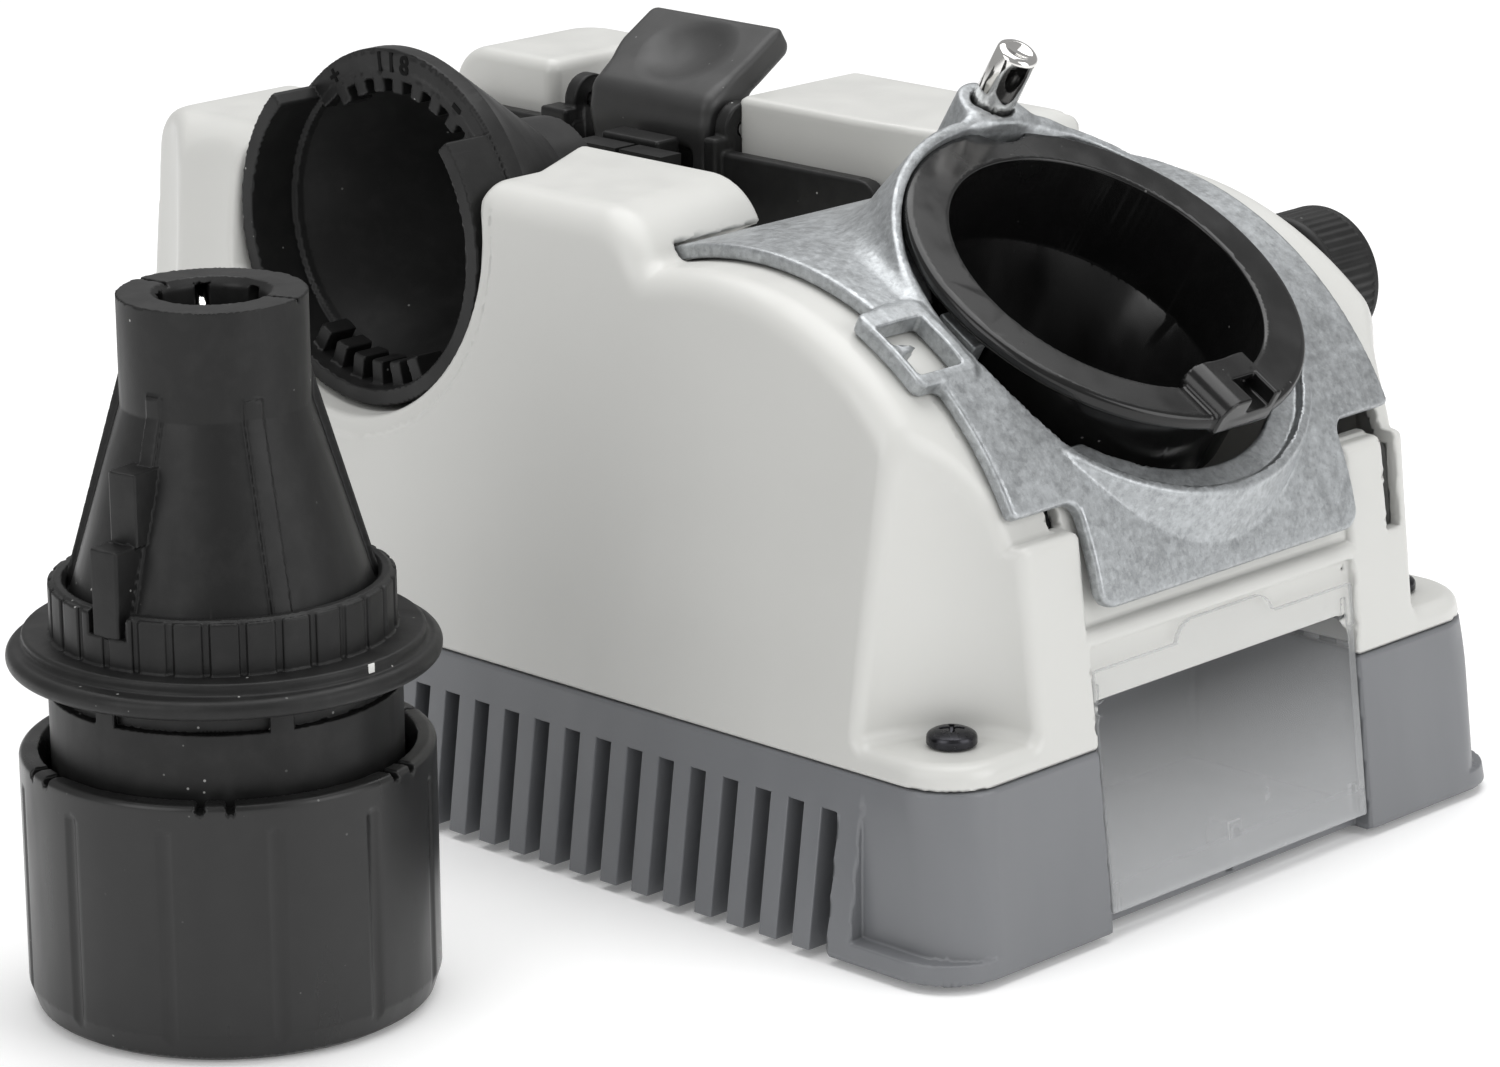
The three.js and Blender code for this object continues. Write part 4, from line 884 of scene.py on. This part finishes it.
def jaw(angle):
    """Blade of one jaw, at that angle in degrees round the chuck's axis."""
    c, s = math.cos(math.radians(angle)), math.sin(math.radians(angle))

    def shape(x, y, z):
        dx, dy = x - CHUCK_X, y - CHUCK_Y
        out, side = dx * c + dy * s, -dx * s + dy * c
        blade = brick(out, side, z, (8.9, 14.8), (-0.95, 0.95), (98.2, 131.0), 0.45)
        return rmax(blade, (z - 127.8) * 0.7 - (out - 9.2) * 0.7, 0.5)
    return shape


# ---------------- pieces made with bmesh

def taken(name, bm):
    """The bmesh as a mesh, with its points as an array."""
    mesh = bpy.data.meshes.new(name)
    bm.to_mesh(mesh)
    bm.free()
    return mesh, np.array([vertex.co[:] for vertex in mesh.vertices])


def spun(name, outline, paint, body, place, node, lying=False, local=None):
    """Turned piece: outline is [(radius, place along the axis)], closed on the axis or on itself.

    The axis stands along z, or lies along x.
    """
    bm = bmesh.new()
    segments = 64
    rings = []
    for r, h in outline:
        if r < 1e-6:
            rings.append([bm.verts.new((0, 0, h))])
        else:
            rings.append([bm.verts.new((r * math.cos(t), r * math.sin(t), h))
                          for t in np.linspace(0, 2 * math.pi, segments, endpoint=False)])
    pairs = list(zip(rings, rings[1:]))
    if outline[0][0] > 1e-6:
        pairs.append((rings[-1], rings[0]))
    for a, b in pairs:
        for i in range(segments):
            j = (i + 1) % segments
            if len(a) == 1:
                bm.faces.new((a[0], b[i], b[j]))
            elif len(b) == 1:
                bm.faces.new((a[i], b[0], a[j]))
            else:
                bm.faces.new((a[i], a[j], b[j], b[i]))
    bmesh.ops.recalc_face_normals(bm, faces=bm.faces)
    turn = Matrix.Rotation(math.pi / 2 if lying else 0, 4, "Y")
    bm.transform(Matrix.Translation(place) @ turn)
    mesh, points = taken(name, bm)
    finish(name, mesh, local(points) if local else points, paint, body, None, node)


def louvres(name, side):
    """The row of upright fins in one long wall, hanging from the edge above them."""
    bm = bmesh.new()
    count, first, pitch, half = 21, 98, 8.58, 2.29
    bottom, top, inner = 1.6, 29.6, 73.5
    quads = [(3, 2, 1, 0), (4, 5, 6, 7)]
    quads += [(k, (k + 1) % 4, (k + 1) % 4 + 4, k + 4) for k in range(4)]
    for i in range(count):
        middle = first - pitch * (i + 0.5)
        ring = []
        for z in (bottom, top):
            outer = HALF_Y + SIDE_DRAFT * (SEAM - z) - 0.03
            for x, y in ((-half, inner), (half, inner), (half, outer), (-half, outer)):
                ring.append(bm.verts.new((middle + x, side * y, z)))
        for quad in quads:
            bm.faces.new([ring[k] for k in quad])
    bmesh.ops.recalc_face_normals(bm, faces=bm.faces)
    bmesh.ops.bevel(bm, geom=list(bm.edges), offset=0.28, segments=2, profile=0.6, affect="EDGES")
    mesh, points = taken(name, bm)
    finish(name, mesh, points, "base", "root")
    mesh.polygons.foreach_set("use_smooth", [False] * len(mesh.polygons))


def lettering(text, angle, size):
    """One raised character on the port's marked face, standing on a circle round its axis."""
    curve = bpy.data.curves.new("letter", "FONT")
    curve.body, curve.size, curve.extrude, curve.offset = text, size, 0.14, 0.16
    curve.align_x, curve.align_y = "CENTER", "CENTER"
    curve.resolution_u = 3
    holder = bpy.data.objects.new("letter", curve)
    bpy.context.scene.collection.objects.link(holder)
    ready = holder.evaluated_get(bpy.context.evaluated_depsgraph_get())
    mesh = bpy.data.meshes.new_from_object(ready)
    bpy.data.objects.remove(holder)
    turn, circle, face_y = math.radians(angle), 33.1, -57.75
    out = np.array([math.cos(turn), 0, math.sin(turn)])
    along = np.array([math.sin(turn), 0, -math.cos(turn)])
    middle = np.array([PORT_X, face_y, PORT_Z]) + out * circle
    points = []
    for vertex in mesh.vertices:
        u, v, w = vertex.co
        points.append(middle + u * along + v * out + w * np.array([0, -1, 0]))
    name = {"+": "plus", "-": "minus"}.get(text, "digit_" + text)
    # painted shade: the character takes the darker letter colour
    finish(f"dial_{name}_{int(angle)}", mesh, points, "painted_shade_letters", "root")
    mesh.polygons.foreach_set("use_smooth", [False] * len(mesh.polygons))


def pieces():
    """Every visible piece: name, shape, grid corners, grid step, paint, body, share of faces kept."""
    grown("housing_top", upper_shell, (-129.5, -82, 37), (129, 82, 130.5), 1.1, "shell", "root",
          0.30, node="upper_shell", soft=0.35)
    grown("housing_base", base_tray, (-137, -90, 1), (137, 90, 37.4), 1.0, "base", "root",
          0.42, node="base_tray", soft=0.3)
    louvres("louvre_fins_near", -1)
    louvres("louvre_fins_far", 1)
    grown("port_drum", alignment_port, (-82, -70, 77), (-6, 5, 152), 0.65, "black", "root",
          0.30, node="alignment_port")
    grown("lever_frame", lever_bracket, (-113, 3, 103.5), (17, 36.5, 130), 0.6, "black", "root",
          0.30, node="lever_bracket")
    grown("lever_pad", thumb_lever, (-74.5, 18, 110), (-32, 56, 146), 0.6, "soft_black", "lever",
          0.35, node="thumb_lever")
    grown("plate_casting", angle_plate, (-58, -64, 20), (60, 58, 82), 0.75, "zinc", "plate",
          0.40, node="angle_plate", soft=0.2, local=from_swing)
    grown("tube_body", sharpening_tube, (-44, -44, 21), (46, 44, 84), 0.75, "gloss_black", "tube",
          0.35, node="sharpening_tube", soft=0.15, local=from_swing)
    grown("angle_lock_knob", lock_knob, (60, 75, 80), (95, 92, 114), 0.4, "black", "lock",
          0.5, node="lock_knob")
    grown("dust_window", dust_door, (122, -41, 2), (135, 41, 62), 0.45, "clear", "door",
          0.5, node="dust_door")
    grown("chuck_grip_cup", chuck_knob, (-10, -209, -1), (69, -129, 50), 0.7, "knob", "chuck_grip",
          0.35, node="chuck_knob")
    grown("chuck_cone", chuck_nose, (-4, -202, 65), (63, -136, 134), 0.55, "black", "chuck_nose", 0.30)
    grown("chuck_index_ring", chuck_ring, (-12, -211, 7), (71, -127, 82), 0.5, "black", "chuck_nose",
          0.30, node="chuck_body")
    for i in range(6):
        angle = 30 + 60 * i
        x = CHUCK_X + 11.8 * math.cos(math.radians(angle))
        y = CHUCK_Y + 11.8 * math.sin(math.radians(angle))
        grown(f"jaw_blade_{i + 1}", jaw(angle), (x - 4.5, y - 4.5, 97.5), (x + 4.5, y + 4.5, 131.5),
              0.45, "chrome", f"jaw_{i + 1}", node=f"chuck_jaw_{i + 1}")
    for i, (sx, sy) in enumerate(((1, -1), (1, 1), (-1, -1), (-1, 1))):
        def placed(points, shift=np.array([sx * SCREW_X, sy * SCREW_Y, 0])):
            return points + shift
        grown(f"screw_{i + 1}", screw, (-5.2, -5.2, 22), (5.2, 5.2, 46), 0.3, "screw", "root", 0.5,
              local=placed, node=f"case_screw_{i + 1}")
    for i, (x, y) in enumerate(((112, 70), (112, -70), (-112, 70), (-112, -70))):
        spun(f"foot_{i + 1}", [(0, 0), (6.2, 0), (7, 0.8), (7, 2.4), (0, 2.4)], "rubber", "root",
             (x, y, 0), f"rubber_foot_{i + 1}")
    spun("cam_pin_turned", [(0, 72.2), (4.3, 72.2), (4.3, 93.6), (4.15, 94.1), (3.6, 94.55),
                            (3.0, 94.7), (2.5, 94.7), (2.3, 94.45), (0, 94.4)],
         "chrome", "plate", (PIN_X, PIN_Y, 0), "cam_pin", local=from_swing)
    spun("cable_gland", [(3.4, -8.6), (4.6, -8.9), (5.4, -8.2), (5.5, -6), (4.9, -5.7), (4.9, -5),
                         (5.6, -4.7), (5.8, -2.6), (8.2, -2.2), (8.5, -1.4), (8.2, -0.4), (6, -0.3),
                         (6, 7.8), (3.4, 7.8)],
         "rubber", "root", (-130.1, 45, 20), "cord_gland", lying=True)
    tx = CHUCK_X + 37 * math.cos(math.radians(TICK_ANGLE))
    ty = CHUCK_Y + 37 * math.sin(math.radians(TICK_ANGLE))
    grown("index_tick", index_tick, (tx - 1.2, ty - 1.4, 68.4), (tx + 1.2, ty + 1.4, 71), 0.12,
          "mark", "chuck_nose")
    for text, angle, size in (("+", 122, 5.4), ("1", 96.8, 5.4), ("1", 90.8, 5.4), ("8", 84.2, 5.4),
                              ("-", 55, 9)):
        lettering(text, angle, size)


LEFT_AS_CAD = {                            # CAD nodes that keep their shape, under their paint
    "steel": ("lever_pin", "tube_pivot_1", "tube_pivot_2", "lock_stud", "lock_washer", "motor_can",
              "stator_core", "rear_bearing", "front_bearing", "rotor_shaft", "wheel_hub", "motor_strap",
              "chuck_spindle", "chuck_spring"),
    "black": ("pawl_left", "pawl_right", "motor_end_bell", "cooling_fan", "switch_frame",
              "power_rocker"),
    "copper": ("field_winding", "armature"),
    "grit": ("grinding_wheel",),
    "brass": ("wheel_nut",),
    "board": ("control_board",),
}

camera()
studio()
pieces()
for paint, nodes in LEFT_AS_CAD.items():
    for node in nodes:
        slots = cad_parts[node].data.materials
        slots.clear()
        slots.append(PAINT[paint])
